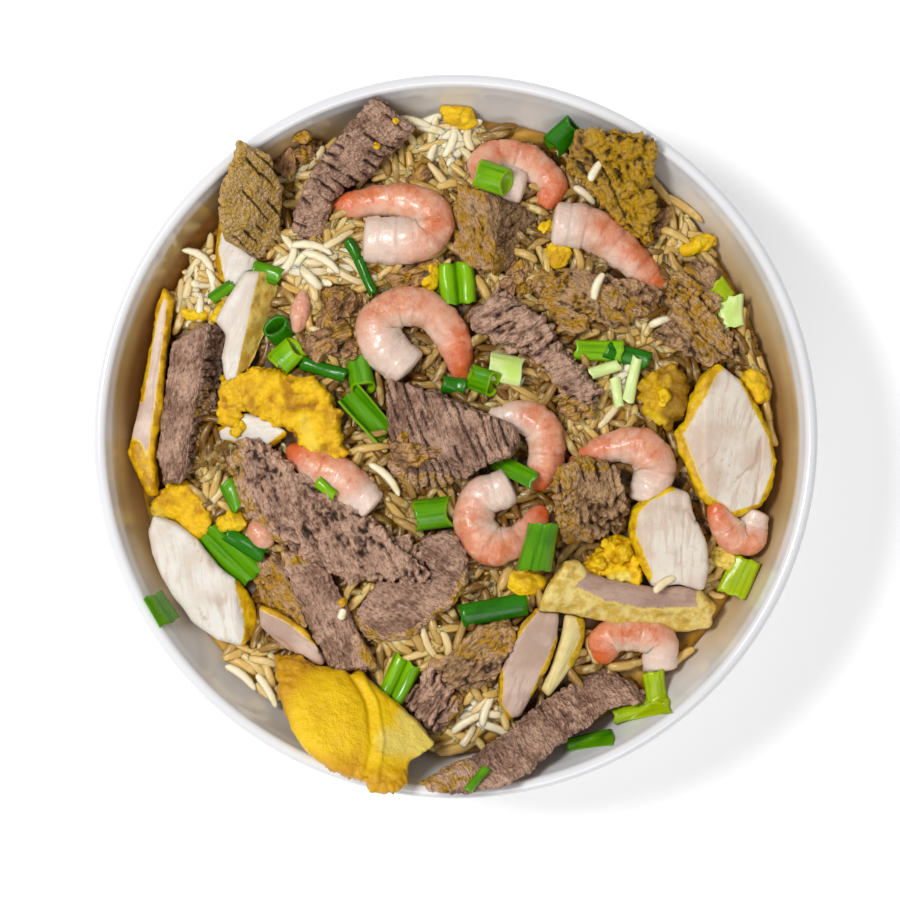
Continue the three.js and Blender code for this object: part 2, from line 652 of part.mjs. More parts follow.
    outline: [[40, -37], [39.5, -41], [42, -43.5], [46, -43], [50, -45.5], [57, -44], [57.5, -37], [54, -32],
      [49, -30.5], [45, -34]],
  },
  {
    name: "shrimp_right", food: "shrimp", form: shrimp,
    path: [[59, -16.5, 5.6], [61, -9, 6.6], [56.5, -3.4, 6.4], [48.5, -3, 5], [41, -5.6, 3.8],
      [36, -8.5, 2.4]],
  },
  {
    name: "chicken_round", food: "chicken", form: slab, thick: 11,
    outline: [[58, -18.5], [54, -22.5], [52.5, -29], [56, -39], [60, -46], [68, -45], [75.5, -47],
      [77, -40], [76.5, -32], [73, -24], [71, -17], [65, -15]],
    faces: [{ line: [[57, -46], [57, -18]], fall: -30 }],
  },
  {
    name: "chicken_right", food: "chicken", form: slab, thick: 11,
    outline: [[80, 22.5], [75, 18.5], [71.5, 12], [70.5, 5], [66, 1], [67.5, -4], [71, -10], [74, -18],
      [80, -23], [86, -24.5], [93, -21.5], [97, -16], [98.5, -8], [96.5, 0], [92.5, 9], [87, 17.5]],
    faces: [{ line: [[76, -24], [76, 20]], fall: -34 }],
  },
  {
    name: "shrimp_far_right", food: "shrimp", form: shrimp,
    path: [[91.6, -25.6, 4.4], [89.4, -31, 5.6], [84, -29, 5.2], [79.4, -21.6, 3]],
  },
  {
    name: "beef_block", food: "beef", form: slab, thick: 13, round: 1.6,
    outline: [[37, -6], [31, -10], [30.5, -17], [31, -25], [34, -32], [41, -31], [49, -29], [52.5, -21.5],
      [50.5, -17], [48.5, -9.5], [43, -7.5]],
    faces: [{ line: [[30, -12], [52, -20]], fall: 22 }],
  },
  {
    name: "shrimp_low", food: "shrimp", form: shrimp,
    path: [[13.4, -16.4, 5.8], [7.2, -19.4, 6], [5.6, -27, 6.2], [11, -33, 6.2], [19, -31.4, 5],
      [26, -23.5, 3.6]],
  },
  {
    name: "scallion_tube_low", food: "scallion", form: tube, from: [-12.4, -24.2], to: [-1, -22.8],
    wide: 9.4, high: 8.2,
  },
  {
    name: "scallion_half", food: "scallion", form: leaf, from: [23.6, -40.4], to: [26.4, -26],
    bends: arc(4.6, 200, -20, 7),
  },
  {
    name: "scallion_flat", food: "scallion", form: leaf, from: [11.6, -7], to: [23.8, -13.4],
    bends: [[-2.8, 0], [-1, 0.5], [1, 0.5], [2.8, 0]],
  },
  {
    name: "scallion_wall", food: "scallion", form: leaf, from: [-92, -47.4], to: [-86.4, -57], steepest: 1.8,
    bends: [[-3.2, 0], [-1.1, 0.9], [1.1, 0.9], [3.2, 0]],
  },
];

// Small things lying on the rice and fused to it: where, half sizes along, across and up, heading.
const SMALL_BEEF = [
  [[-45.5, 87.5], [4.6, 3.2, 2.6], 10], [[-52, 83.5], [4.4, 2.4, 2.6], 100], [[-9.5, 81], [5, 4, 3], 40],
  [[-35.5, 41], [5.6, 5, 4], 30], [[-39, 29.5], [7, 5.4, 4], 30], [[-13.5, 48.5], [6, 3.4, 3.4], 20],
  [[18, 48], [4.6, 2.6, 2.6], 60],
];
const SMALL_YELLOW = [
  [[1.5, 98], [5.6, 3.4, 2.6], -12], [[75, 59], [5.6, 2.8, 2.6], 14], [[31, 56], [4.4, 3.8, 3], 40],
  [[92, 15.5], [5, 3.6, 3], 110], [[-79.5, 37.5], [5.4, 1.7, 1.8], -8], [[-72, 38.5], [3.6, 1.8, 1.8], 50],
  [[-68, -26], [4.4, 3.2, 3], 10], [[20.5, -44.5], [6, 4, 3.2], -10], [[-7.8, 49], [4.6, 2.2, 3], 80],
  [[82, -37.5], [4.8, 2.6, 2.4], -20],
];
const SMALL_GREEN = [
  [[-53, 32.8], [5.2, 3.8, 1.6], 35], [[-57.5, 50.6], [4.6, 2.2, 1.6], -25], [[-71.4, 43.6], [4.6, 1.5, 1.4], 38],
  [[-28.6, 52], [8.6, 1.3, 1.4], -64], [[-40, 20.6], [6.4, 1.8, 1.4], -16], [[44, 26], [7, 3, 2], -6],
  [[54, 24.5], [5.4, 2.6, 2], -22], [[-68, -17.6], [5.2, 2.4, 1.8], -58], [[88, -44], [6.4, 4, 3], 70],
  [[84, 40.6], [6.6, 3.8, 3], 98], [[60.6, -77], [4.6, 2.2, 2], 100], [[56.6, -84], [7.4, 1.6, 1.8], 22],
  [[42, -93.4], [5.8, 1.5, 1.6], 12], [[6.4, -94], [3.6, 1.2, 1.4], 60], [[52.8, 16], [8, 2.2, 1.8], 74],
];
const SMALL_PINK = [
  [[-59.6, -30], [4.6, 3.6, 3.2], -50], [[-47.6, 38], [6, 2.8, 3], 80],
];

// Colour and roughness of each food and of the bowl.
const LOOKS = {
  porcelain: [0xf2f1ee, 0.2],
  rice: [0xdcc9a0, 0.5],
  beef: [0x8a6a58, 0.75],
  shrimp: [0xe79a7c, 0.35],
  chicken: [0xe6d5c2, 0.55],
  skin: [0xd9a521, 0.5],
  egg: [0xe2b420, 0.5],
  scallion: [0x4f9a1c, 0.4],
};

// ---- putting it together ---------------------------------------------------------------------------
/** Cut each piece clear of the dish, of the rice and of every piece that lies over it. */
function fitted(pieces, dish, core) {
  const grown = pieces.map(({ body }) => swollen(body, GAP));
  const around = [swollen(dish, GAP), swollen(core, GAP)];
  return pieces.map((piece, i) => {
    const cutters = [...around, ...grown.slice(i + 1)].filter((each) => boxesMeet(piece.body, each));
    const body = cutters.reduce((rest, each) => rest.subtract(each), piece.body);
    return { ...piece, body: largest(body) };
  });
}

/** Whether a small thing keeps clear of the dish and of all toppings. */
function isClear(body, others) {
  const grown = swollen(body, GAP);
  return others.every((each) => !boxesMeet(grown, each) || grown.intersect(each).volume() < 1e-6);
}

/** The heap with its small toppings and then the grains that show, spread on a sunflower spiral. */
function riceHeap(core, others) {
  const random = seeded(7);
  const small = [...SMALL_BEEF, ...SMALL_YELLOW, ...SMALL_GREEN, ...SMALL_PINK];
  const lumps = small.flatMap(([at, half, heading]) => {
    const sizes = [1, 0.85, 0.7].map((share) => toBody(crumb(at, half.map((v) => v * share), heading)));
    const fits = sizes.find((each) => isClear(each, others));
    return fits ? [fits] : [];
  });
  const grains = [];
  const turns = Math.floor((RICE_EDGE / GRAIN_SPACING) ** 2 * Math.PI);
  for (let i = 0; i < turns; i += 1) {
    const r = (RICE_EDGE - 3) * Math.sqrt((i + 0.5) / turns);
    const angle = i * 2.39996;
    const [x, y] = [r * Math.cos(angle), r * Math.sin(angle)];
    const heading = random() * Math.PI;
    const [short, long] = GRAIN_LENGTH;
    const length = short + (long - short) * random();
    const reach = [0.4 * length * Math.sin(-heading), 0.4 * length * Math.cos(heading)];
    const ends = [-1, 0, 1].map((side) => [x + side * reach[0], y + side * reach[1]]);
    if (ends.every((end) => cellAt(end).covered)) continue;
    const body = toBody(grain(x, y, heading, length));
    if (isClear(body, others)) grains.push(body);
  }
  return largest(wasm.Manifold.union([core, ...lumps, ...grains]));
}

function asMesh(name, body, look) {
  const geometry = welded(toGeometry(body));
  const [color, roughness] = LOOKS[look];
  const material = new THREE.MeshStandardMaterial({ color, roughness, metalness: 0 });
  material.name = look;
  const mesh = new THREE.Mesh(geometry, material);
  mesh.name = name;
  return mesh;
}

layBase();
const dish = bowl();
const core = riceCore();
const laid = TOPPINGS.map(({ form, name, food, ...sizes }) => ({ name, food, body: form(sizes) }));
const toppings = fitted(laid, dish, core);
const heap = riceHeap(core, [dish, ...toppings.map(({ body }) => body)]);

const part = new THREE.Group();
part.name = "fried_rice";
part.add(asMesh("bowl", dish, "porcelain"));
part.add(asMesh("rice_heap", heap, "rice"));
for (const { name, food, body } of toppings) part.add(asMesh(name, body, food));

export default part;
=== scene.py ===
"""Fried rice in a white bowl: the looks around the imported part.

Lengths are millimetres in the part's frame (+Z up, the bowl's axis at x = y = 0) until a mesh is
made, which turns them into metres. Plan positions are (x, y). Headings are degrees from +X.
"""
import itertools
import math

import bpy
import numpy as np
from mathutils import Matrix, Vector
from mathutils.bvhtree import BVHTree


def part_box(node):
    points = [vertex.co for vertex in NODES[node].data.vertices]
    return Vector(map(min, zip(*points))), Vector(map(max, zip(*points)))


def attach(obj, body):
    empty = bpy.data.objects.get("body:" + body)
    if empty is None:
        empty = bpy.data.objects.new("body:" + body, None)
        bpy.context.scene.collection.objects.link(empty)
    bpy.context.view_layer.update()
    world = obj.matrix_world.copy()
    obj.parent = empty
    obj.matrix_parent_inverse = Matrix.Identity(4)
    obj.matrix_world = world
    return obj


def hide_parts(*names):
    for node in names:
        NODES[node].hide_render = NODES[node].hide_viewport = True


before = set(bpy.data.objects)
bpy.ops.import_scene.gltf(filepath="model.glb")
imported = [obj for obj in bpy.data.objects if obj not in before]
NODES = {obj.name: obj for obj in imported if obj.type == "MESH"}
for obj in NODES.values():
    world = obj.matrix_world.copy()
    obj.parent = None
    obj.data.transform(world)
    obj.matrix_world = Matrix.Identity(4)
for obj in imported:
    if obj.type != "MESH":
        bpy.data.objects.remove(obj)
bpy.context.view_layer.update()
MM = 0.001

# ---- the bowl and the heap, as in the part ---------------------------------------------------------
RIM_RADIUS = 1000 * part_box("bowl")[1].x
RIM_Z = 1000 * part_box("bowl")[1].z
WALL = 4.0
CAVITY_RADIUS = 107.2
CAVITY_DEPTH = 80.0
CAVITY_ABOVE = 12.0
FLOOR_Z = 11.0
UNDERSIDE_Z = 6.0
FOOT_RADIUS = 48.0
FOOT_WIDTH = 5.0
RICE_EDGE_Z = 57.5
RICE_RISE = 11.0
RICE_GAP = 1.2

# ---- the picture and its light ---------------------------------------------------------------------
PICTURE_SIDE = 900                    # pixels
AXIS_PIXEL = (455.6, 436.5)           # where the bowl's axis shows
RIM_PIXELS = 725.8                    # the rim's width there
CAMERA_HEIGHT = 1000.0                # above the rim
SENSOR = 36.0
# the lights: place and width in metres, watts
KEY_LIGHT = ((-0.52, 0.18, 1.2), 0.33, 11.2)
FILL_LIGHT = ((0.15, -0.75, 1.25), 0.9, 5.0)
LIGHT_AIM = (0, 0, 0.06)
ROOM_LIGHT = 0.31       # strength of the white world
FLOOR_REACH = 6000.0
FLOOR_GLOW = 0.3


# ---- noise -----------------------------------------------------------------------------------------
def hashed(cells, seed):
    """Repeatable numbers from -1 to 1 for whole-number cells of shape (n, 3)."""
    mixed = np.bitwise_xor.reduce(cells * np.array([73856093, 19349663, 83492791]), axis=1)
    mixed = (mixed ^ (seed * 2654435761)) & 0xFFFFFFFF
    mixed = ((mixed ^ (mixed >> 13)) * 1274126177) & 0xFFFFFFFF
    mixed = ((mixed ^ (mixed >> 16)) * 2246822519) & 0xFFFFFFFF
    return (mixed ^ (mixed >> 15)) / 0x7FFFFFFF - 1


def noise(points, size, seed):
    """Smooth noise from -1 to 1 at points (n, 3); its lumps are `size` across, one number or three."""
    scaled = points / np.asarray(size, float)
    low = np.floor(scaled).astype(np.int64)
    part = scaled - low
    part = part * part * (3 - 2 * part)
    total = np.zeros(len(points))
    for corner in itertools.product((0, 1), repeat=3):
        weight = np.prod(np.where(corner, part, 1 - part), axis=1)
        total += weight * hashed(low + corner, seed)
    return total


def creased(points, size, seed):
    """Rounded lumps about `size` across with sharp creases between: 0 in a crease, up to about 0.8."""
    shifts = np.stack([noise(points, size, seed + k) for k in (1, 2, 3)], axis=1)
    return np.abs(noise(points + 0.35 * np.min(size) * shifts, size, seed))


def side_of(points, start, end):
    """How far each point lies to the right of the line start -> end, in plan."""
    run = np.array(end, float) - np.array(start, float)
    run /= np.linalg.norm(run)
    return (points[:, 0] - start[0]) * run[1] - (points[:, 1] - start[1]) * run[0]


def turned(points, heading, origin=(0, 0)):
    """Points with their plan turned so that `heading` becomes +X."""
    angle = math.radians(heading)
    x, y = points[:, 0] - origin[0], points[:, 1] - origin[1]
    along = x * math.cos(angle) + y * math.sin(angle)
    across = y * math.cos(angle) - x * math.sin(angle)
    return np.column_stack([along, across, points[:, 2]])


def near(points, line):
    """Plan distance of each point from a line through the given plan positions."""
    flat = points[:, :2]
    best = np.full(len(points), 1e9)
    for start, end in zip(line[:-1], line[1:]):
        start, end = np.array(start, float), np.array(end, float)
        run = end - start
        share = np.clip((flat - start) @ run / max(run @ run, 1e-9), 0, 1)
        best = np.minimum(best, np.linalg.norm(flat - start - share[:, None] * run, axis=1))
    return best


def smooth_step(low, high, value):
    share = np.clip((value - low) / (high - low), 0, 1)
    return share * share * (3 - 2 * share)


# ---- meshes ----------------------------------------------------------------------------------------
def make_piece(name, points, faces, material, stands_for, marks):
    """A smooth mesh piece of the part, with a number or a vector a vertex under each name in `marks`."""
    mesh = bpy.data.meshes.new(name)
    mesh.from_pydata((np.asarray(points) * MM).tolist(), [], faces)
    piece = bpy.data.objects.new(name, mesh)
    bpy.context.scene.collection.objects.link(piece)
    dress(piece, material, stands_for, marks)
    return piece


def dress(piece, material, stands_for, marks):
    """Give a piece its marks and looks, and say what it is in the frame."""
    mesh = piece.data
    for mark, values in marks.items():
        values = np.asarray(values, np.float32)
        kind, key = ("FLOAT_VECTOR", "vector") if values.ndim == 2 else ("FLOAT", "value")
        mesh.attributes.new(mark, kind, "POINT").data.foreach_set(key, values.ravel())
    mesh.polygons.foreach_set("use_smooth", np.ones(len(mesh.polygons), bool))
    mesh.materials.clear()
    mesh.materials.append(material)
    mesh.update()
    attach(piece, "root")
    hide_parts(*stands_for)


def ring_faces(count, sides, loops_back=False):
    """Quads between `count` rings of `sides` points, the last ring joined to the first if it loops."""
    faces = []
    for i in range(count if loops_back else count - 1):
        a, b = i * sides, ((i + 1) % count) * sides
        faces += [(a + j, a + (j + 1) % sides, b + (j + 1) % sides, b + j) for j in range(sides)]
    return faces


def closed_tube(rings):
    """Points and faces of a tube through rings (count, sides, 3), shut by a fan at each end."""
    count, sides, _ = rings.shape
    first, last = count * sides, count * sides + 1
    points = np.vstack([rings.reshape(-1, 3), rings[0].mean(0), rings[-1].mean(0)])
    faces = ring_faces(count, sides)
    faces += [(first, (j + 1) % sides, j) for j in range(sides)]
    base = (count - 1) * sides
    faces += [(last, base + j, base + (j + 1) % sides) for j in range(sides)]
    return points, faces


def shell(top, bottom):
    """Points and faces of a closed strap between two grids (rows, columns, 3)."""
    rows, columns, _ = top.shape
    points = np.vstack([top.reshape(-1, 3), bottom.reshape(-1, 3)])
    under = rows * columns
    cell = lambda i, j: i * columns + j
    faces = []
    for i, j in itertools.product(range(rows - 1), range(columns - 1)):
        quad = (cell(i, j), cell(i, j + 1), cell(i + 1, j + 1), cell(i + 1, j))
        faces.append(quad)
        faces.append(tuple(under + k for k in reversed(quad)))
    rim = [cell(0, j) for j in range(columns)]
    rim += [cell(i, columns - 1) for i in range(1, rows)]
    rim += [cell(rows - 1, j) for j in range(columns - 2, -1, -1)]
    rim += [cell(i, 0) for i in range(rows - 2, 0, -1)]
    for a, b in zip(rim, rim[1:] + rim[:1]):
        faces.append((b, a, under + a, under + b))
    return points, faces


def joined(parts):
    """One set of points, faces and marks from several (points, faces, marks)."""
    points, faces, marks, start = [], [], {}, 0
    for some_points, some_faces, some_marks in parts:
        points.append(some_points)
        faces += [tuple(start + k for k in face) for face in some_faces]
        for mark, value in some_marks.items():
            marks.setdefault(mark, []).append(value)
        start += len(some_points)
    return np.vstack(points), faces, {mark: np.concatenate(v) for mark, v in marks.items()}


def fine_copy(node, voxel, rounding):
    """A fine closed copy of a node's solid with its edges rounded: (object, points, normals)."""
    piece = bpy.data.objects.new(node, NODES[node].data.copy())
    bpy.context.scene.collection.objects.link(piece)
    remesh = piece.modifiers.new("fine", "REMESH")
    remesh.mode = "VOXEL"
    remesh.voxel_size = voxel * MM
    soften = piece.modifiers.new("soften", "SMOOTH")
    soften.factor = 0.5
    soften.iterations = rounding
    mesh = bpy.data.meshes.new_from_object(piece.evaluated_get(bpy.context.evaluated_depsgraph_get()))
    piece.modifiers.clear()
    piece.data = mesh
    return piece, vertex_values(mesh, "co") / MM, vertex_values(mesh, "normal")


def vertex_values(mesh, key):
    """The "co" or "normal" of every vertex, as rows of three."""
    flat = np.empty(len(mesh.vertices) * 3)
    mesh.vertices.foreach_get(key, flat)
    return flat.reshape(-1, 3)


def shape_copy(piece, node, ending, points, material, marks):
    """Give the fine copy of a node its new points, its looks and a name of its own."""
    piece.data.vertices.foreach_set("co", (points * MM).ravel())
    piece.data.update()
    dress(piece, material, [node], marks)
    piece.name = node + ending


# ---- materials -------------------------------------------------------------------------------------
NOISE_LUMPS = 0.6       # width of a noise texture's lumps where its scale is 1
WHITE = (1, 1, 1, 1)


def linear(colour):
    """Linear RGBA from an sRGB colour written as 0xRRGGBB."""
    parts = [((colour >> shift) & 255) / 255 for shift in (16, 8, 0)]
    return [p / 12.92 if p <= 0.04045 else ((p + 0.055) / 1.055) ** 2.4 for p in parts] + [1]


class Look:
    """A node material round one Principled shader. Colours are 0xRRGGBB or sockets, sizes are in mm."""

    def __init__(self, name, **values):
        self.material = bpy.data.materials.new(name)
        self.material.use_nodes = True
        self.tree = self.material.node_tree
        self.shader = self.tree.nodes["Principled BSDF"]
        self.place = self.node("TexCoord").outputs["Object"]
        for socket, value in values.items():
            self.shader.inputs[socket.replace("_", " ")].default_value = value

    def node(self, kind, inputs=None, **settings):
        """A new node with its settings, and its inputs by name or number."""
        made = self.tree.nodes.new("ShaderNode" + kind)
        for key, value in settings.items():
            setattr(made, key, value)
        for key, value in (inputs or {}).items():
            if isinstance(value, bpy.types.NodeSocket):
                self.tree.links.new(value, made.inputs[key])
            else:
                made.inputs[key].default_value = value
        return made

    def mark(self, name, output="Fac"):
        """What the mesh carries at each vertex under this name."""
        return self.node("Attribute", attribute_name=name).outputs[output]

    def noise_at(self, place, scale, detail, roughness):
        values = {"Vector": place, "Scale": scale, "Detail": detail, "Roughness": roughness}
        return self.node("TexNoise", values).outputs["Fac"]

    def noise(self, size, detail=2.0, roughness=0.5):
        """Noise from 0 to 1 with lumps about `size` across."""
        return self.noise_at(self.place, NOISE_LUMPS / (size * MM), detail, roughness)

    def along_grain(self, along, across):
        """The place along and across the piece's own grain, counted in the given sizes."""
        values = {"Vector": self.mark("grain", "Vector"), "Scale": (1 / along, 1 / across, 1 / across)}
        return self.node("Mapping", values, vector_type="POINT").outputs[0]

    def streaks(self, along, across, detail=2.0, roughness=0.5):
        """Noise drawn out along the piece's own grain."""
        place = self.along_grain(along / NOISE_LUMPS, across / NOISE_LUMPS)
        return self.noise_at(place, 1.0, detail, roughness)

    def flakes(self, along, across):
        """Flakes with wandering edges: 0 in the middle of each, about 1 between them."""
        place = self.along_grain(along, across)
        wander = self.node("TexNoise", {"Vector": place, "Scale": 1.4}).outputs["Color"]
        bent = self.node("VectorMath", {0: wander, 1: (0.9, 0.9, 0.9), 2: place}, operation="MULTIPLY_ADD")
        cells = self.node("TexVoronoi", {"Vector": bent.outputs[0], "Scale": 1.0}, feature="F1")
        return cells.outputs["Distance"]

    def math(self, kind, a, b):
        return self.node("Math", {0: a, 1: b}, operation=kind).outputs[0]

    def sum(self, a, b, share=1.0):
        """`a` and a share of `b`."""
        return self.math("ADD", a, b if share == 1 else self.math("MULTIPLY", b, share))

    def mix(self, share, a, b):
        """Colour `a` where the share is 0, `b` where it is 1."""
        a, b = [linear(colour) if isinstance(colour, int) else colour for colour in (a, b)]
        return self.node("Mix", {"Factor": share, 6: a, 7: b}, data_type="RGBA").outputs[2]

    def marked(self, base, colour, name):
        """`colour` over `base` where the mesh has this mark."""
        return self.mix(self.mark(name), base, colour)

    def over(self, base, colour, value, low, high, strength=1.0):
        """`colour` over `base`, up to `strength`, as `value` goes from `low` to `high`."""
        limits = {"Value": value, "From Min": low, "From Max": high}
        share = self.node("MapRange", limits, interpolation_type="SMOOTHSTEP").outputs["Result"]
        return self.mix(share if strength == 1 else self.math("MULTIPLY", share, strength), base, colour)

    def colour(self, value, vivid=1.0):
        made = self.node("HueSaturation", {"Color": value, "Saturation": vivid})
        self.tree.links.new(made.outputs[0], self.shader.inputs["Base Color"])

    def roughness(self, least, more, value):
        """Roughness from `least` where `value` is 0 to `more` above that where it is 1."""
        self.tree.links.new(self.sum(least, value, more), self.shader.inputs["Roughness"])

    def bump(self, *heights):
        """Bumps from (height, depth) pairs, one on top of the other."""
        below = {}
        for height, depth in heights:
            made = self.node("Bump", {"Height": height, "Distance": depth * MM, **below})
            below = {"Normal": made.outputs[0]}
        self.tree.links.new(below["Normal"], self.shader.inputs["Normal"])


def flesh(name, depth, radius, share, **values):
    """A look in which a share of the light scatters `depth` mm deep, by `radius` for red, green, blue."""
    look = Look(name, Subsurface_Weight=share, Subsurface_Scale=depth * MM, **values)
    look.shader.inputs["Subsurface Radius"].default_value = radius
    return look


def porcelain_look():
    """White glaze with painted shade and painted reflection of the food on its wall, brown where strongest.
    """
    look = Look("porcelain", Roughness=0.12, IOR=1.5, Coat_Weight=0.4, Coat_Roughness=0.05)
    # painted shade and painted reflection of the food: tan, and brown where strongest
    wall_shade = look.sum(look.mark("wall_shade"), look.noise(14, 3), 0.25)
    base = look.over(0xE6E6E8, 0xE2E2E4, look.noise(18, 3), 0.35, 0.7)
    base = look.over(base, 0xCDB07C, wall_shade, 0.2, 0.8)
    look.colour(look.over(base, 0x8A5A24, wall_shade, 0.6, 1.15))
    look.roughness(0.1, 0.08, look.noise(9, 3))
    return look.material


def rice_look():
    """Grains that go from brown to nearly white as their tone rises; the brown end is also painted shade low
    in the heap and between toppings.
    """
    look = flesh("rice", 1.2, (1.0, 1.0, 1.0), 0.85, Roughness=0.3, Specular_IOR_Level=0.4)
    tone = look.sum(look.mark("tone"), look.noise(7, 3), 0.35)
    light = look.over(0xD8B878, 0xF0E6CC, tone, 0.65, 1.15)
    # the dark end serves as painted shade as well as brown rice
    base = look.over(0x684212, light, tone, -0.3, 0.7)
    look.colour(look.over(base, 0xE4D4A0, look.noise(2.4, 3), 0.5, 0.8), 1.1)
    look.roughness(0.22, 0.22, look.noise(2))
    look.bump((look.noise(1.6, 3), 0.12))
    return look.material


def rice_core_look():
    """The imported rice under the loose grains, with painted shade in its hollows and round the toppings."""
    look = flesh("rice_under", 1.2, (1.0, 0.6, 0.3), 0.6, Roughness=0.45, Specular_IOR_Level=0.3)
    base = look.over(0xAA7E36, 0xCEA862, look.noise(9, 3), 0.35, 0.7)
    # painted shade in the hollows and round the toppings
    look.colour(look.marked(base, 0x4A2E0C, "hollow"), 1.1)
    look.bump((look.noise(2.2, 3), 0.5))
    return look.material


def beef_look(name, meat, light, gold, dark, spread, flakes=(1.6, 0.8)):
    """Cooked beef: meat, lighter fibres and painted light up high, gold over `spread` and where marked,
    painted shade in the cracks.
    """
    look = flesh(name, 0.3, (1.0, 0.5, 0.35), 0.25, Roughness=0.5, Specular_IOR_Level=0.3)
    thread = look.streaks(2.0, 0.45, 3, 0.7)
    flake = look.flakes(*flakes)
    base = look.over(meat, light, look.noise(6, 3), 0.38, 0.66, 0.7)
    # painted light on raised parts, where marked
    base = look.marked(base, light, "fibre_and_highlight")
    crust = look.over(light, gold, look.noise(1.8, 3, 0.6), 0.36, 0.62)
    golden = look.sum(look.sum(look.mark("gold"), look.noise(2.8, 4, 0.65)), spread)
    base = look.over(base, crust, golden, 0.72, 0.98)
    # painted light on the raised middles of flakes and threads, painted shade between them
    base = look.over(base, light, flake, 0.5, 0.2, 0.3)
    base = look.over(base, light, thread, 0.52, 0.66, 0.4)
    base = look.over(base, dark, flake, 0.6, 0.95, 0.5)
    base = look.over(base, dark, thread, 0.46, 0.32, 0.35)
    # painted shade in the hollows
    look.colour(look.marked(base, dark, "hollow"), 1.1)
    look.roughness(0.32, 0.4, look.noise(0.8, 3))
    look.bump((look.math("SUBTRACT", 1.0, flake), 0.9), (thread, 0.4), (look.noise(0.6, 3, 0.7), 0.3))
    return look.material


def shrimp_look():
    """Boiled shrimp: rosy back with red threads round it, paler belly and cut end, orange tail."""
    look = flesh("shrimp", 1.3, (1.0, 0.6, 0.45), 0.8, Roughness=0.25, Specular_IOR_Level=0.45,
                 Coat_Weight=0.2, Coat_Roughness=0.12)
    rosy = look.over(0xE29E7A, 0xD6784A, look.noise(4, 3), 0.38, 0.66)
    rosy = look.over(rosy, 0xC2481E, look.streaks(0.9, 3.0, 4, 0.65), 0.54, 0.68, 0.6)
    rosy = look.over(rosy, 0xBE421A, look.noise(0.8, 3, 0.7), 0.58, 0.68, 0.5)
    rosy = look.over(rosy, 0xE6C4AE, look.noise(2.8, 3, 0.6), 0.52, 0.66, 0.6)
    pale = look.over(0xE2C6B4, 0xD6A68A, look.noise(3, 3), 0.4, 0.7)
    base = look.marked(pale, rosy, "back")
    base = look.marked(base, 0xC0502A, "ring")
    base = look.marked(base, 0xE4D3C6, "head")
    look.colour(look.marked(base, 0xDA6428, "tail"), 1.05)
    look.roughness(0.16, 0.28, look.noise(1.2, 3))
    look.bump((look.noise(1.5, 4, 0.65), 0.4), (look.streaks(0.7, 2.5, 3), 0.15))
    return look.material


def chicken_look(name, white, shade, yellow, amber):
    """Boiled chicken: pale meat with fine threads and a few brown specks, and yellow skin along its edges."""
    look = flesh(name, 1.0, (1.0, 0.6, 0.4), 0.8, Roughness=0.42, Specular_IOR_Level=0.35)
    thread = look.streaks(9, 0.9, 3, 0.6)
    base = look.over(white, shade, look.noise(8, 3), 0.38, 0.7)
    base = look.over(base, shade, thread, 0.5, 0.36, 0.8)
    base = look.over(base, shade, look.noise(2.2, 3, 0.6), 0.55, 0.7, 0.5)
    base = look.marked(base, 0xA67C5E, "line")
    base = look.over(base, 0xBC8C66, look.noise(1.2, 2), 0.72, 0.8)
    edge = look.sum(look.mark("skin"), look.noise(1.4, 4, 0.7), 0.75)
    skin = look.over(yellow, amber, look.noise(2.5, 4, 0.65), 0.40, 0.62)
    fat = look.over(0xE2C978, skin, edge, 0.78, 0.98)
    base = look.over(base, fat, edge, 0.62, 0.8)
    look.colour(look.marked(base, 0x8A5A18, "hollow"), 1.05)
    look.roughness(0.3, 0.3, look.noise(1.5))
    look.bump((look.noise(1.1, 4, 0.65), 0.25), (thread, 0.12))
    return look.material


def yellow_look(name, bright, deep, pale, shine=0.4, blotchy=0.6):
    """Egg or chicken skin: bright yellow with deeper blotches and flecks, painted shade in its dips and
    crevices, and paler smears.
    """
    look = flesh(name, 0.5, (1.0, 0.7, 0.2), 0.5, Roughness=shine, Specular_IOR_Level=0.4)
    base = look.over(bright, deep, look.noise(4, 3), 0.45, 0.7, blotchy)
    # deeper where marked: the piece's own colour in places, painted shade in its dips elsewhere
    base = look.marked(base, deep, "deep")
    base = look.over(base, deep, look.noise(0.9, 4, 0.7), 0.5, 0.38, 0.6 * blotchy)
    base = look.over(base, pale, look.noise(1.6, 4, 0.65), 0.58, 0.74, 0.6)
    base = look.marked(base, pale, "pale")
    # painted shade in the crevices
    look.colour(look.marked(base, 0x84540A, "hollow"), 1.12)
    look.roughness(shine - 0.15, 0.35, look.noise(1.2))
    look.bump((look.noise(1.3, 5, 0.75), 0.7))
    return look.material


def scallion_look(name, green, deep, within):
    """Cut scallion: streaks along the leaf, a paler inside and cut edge."""
    look = flesh(name, 0.5, (0.5, 1.0, 0.1), 0.4, Roughness=0.25, Specular_IOR_Level=0.35)
    thread = look.streaks(14, 0.8, 3, 0.6)
    base = look.over(deep, green, thread, 0.3, 0.55)
    base = look.over(base, within, thread, 0.6, 0.75, 0.4)
    base = look.over(base, deep, look.noise(7, 2), 0.5, 0.8)
    look.colour(look.marked(base, within, "inner"), 1.12)
    look.roughness(0.14, 0.22, look.noise(2))
    look.bump((thread, 0.12), (look.noise(0.8, 2), 0.05))
    return look.material


# ---- the bowl --------------------------------------------------------------------------------------
BOWL_SIDES = 160


def wall_radius(z, grow=0.0):
    """Radius of the cavity, or with `grow` of the outside, at height z."""
    down = np.clip((RIM_Z + CAVITY_ABOVE - z) / (CAVITY_DEPTH + grow), 0, 1)
    return (CAVITY_RADIUS + grow) * np.sqrt(1 - down * down)


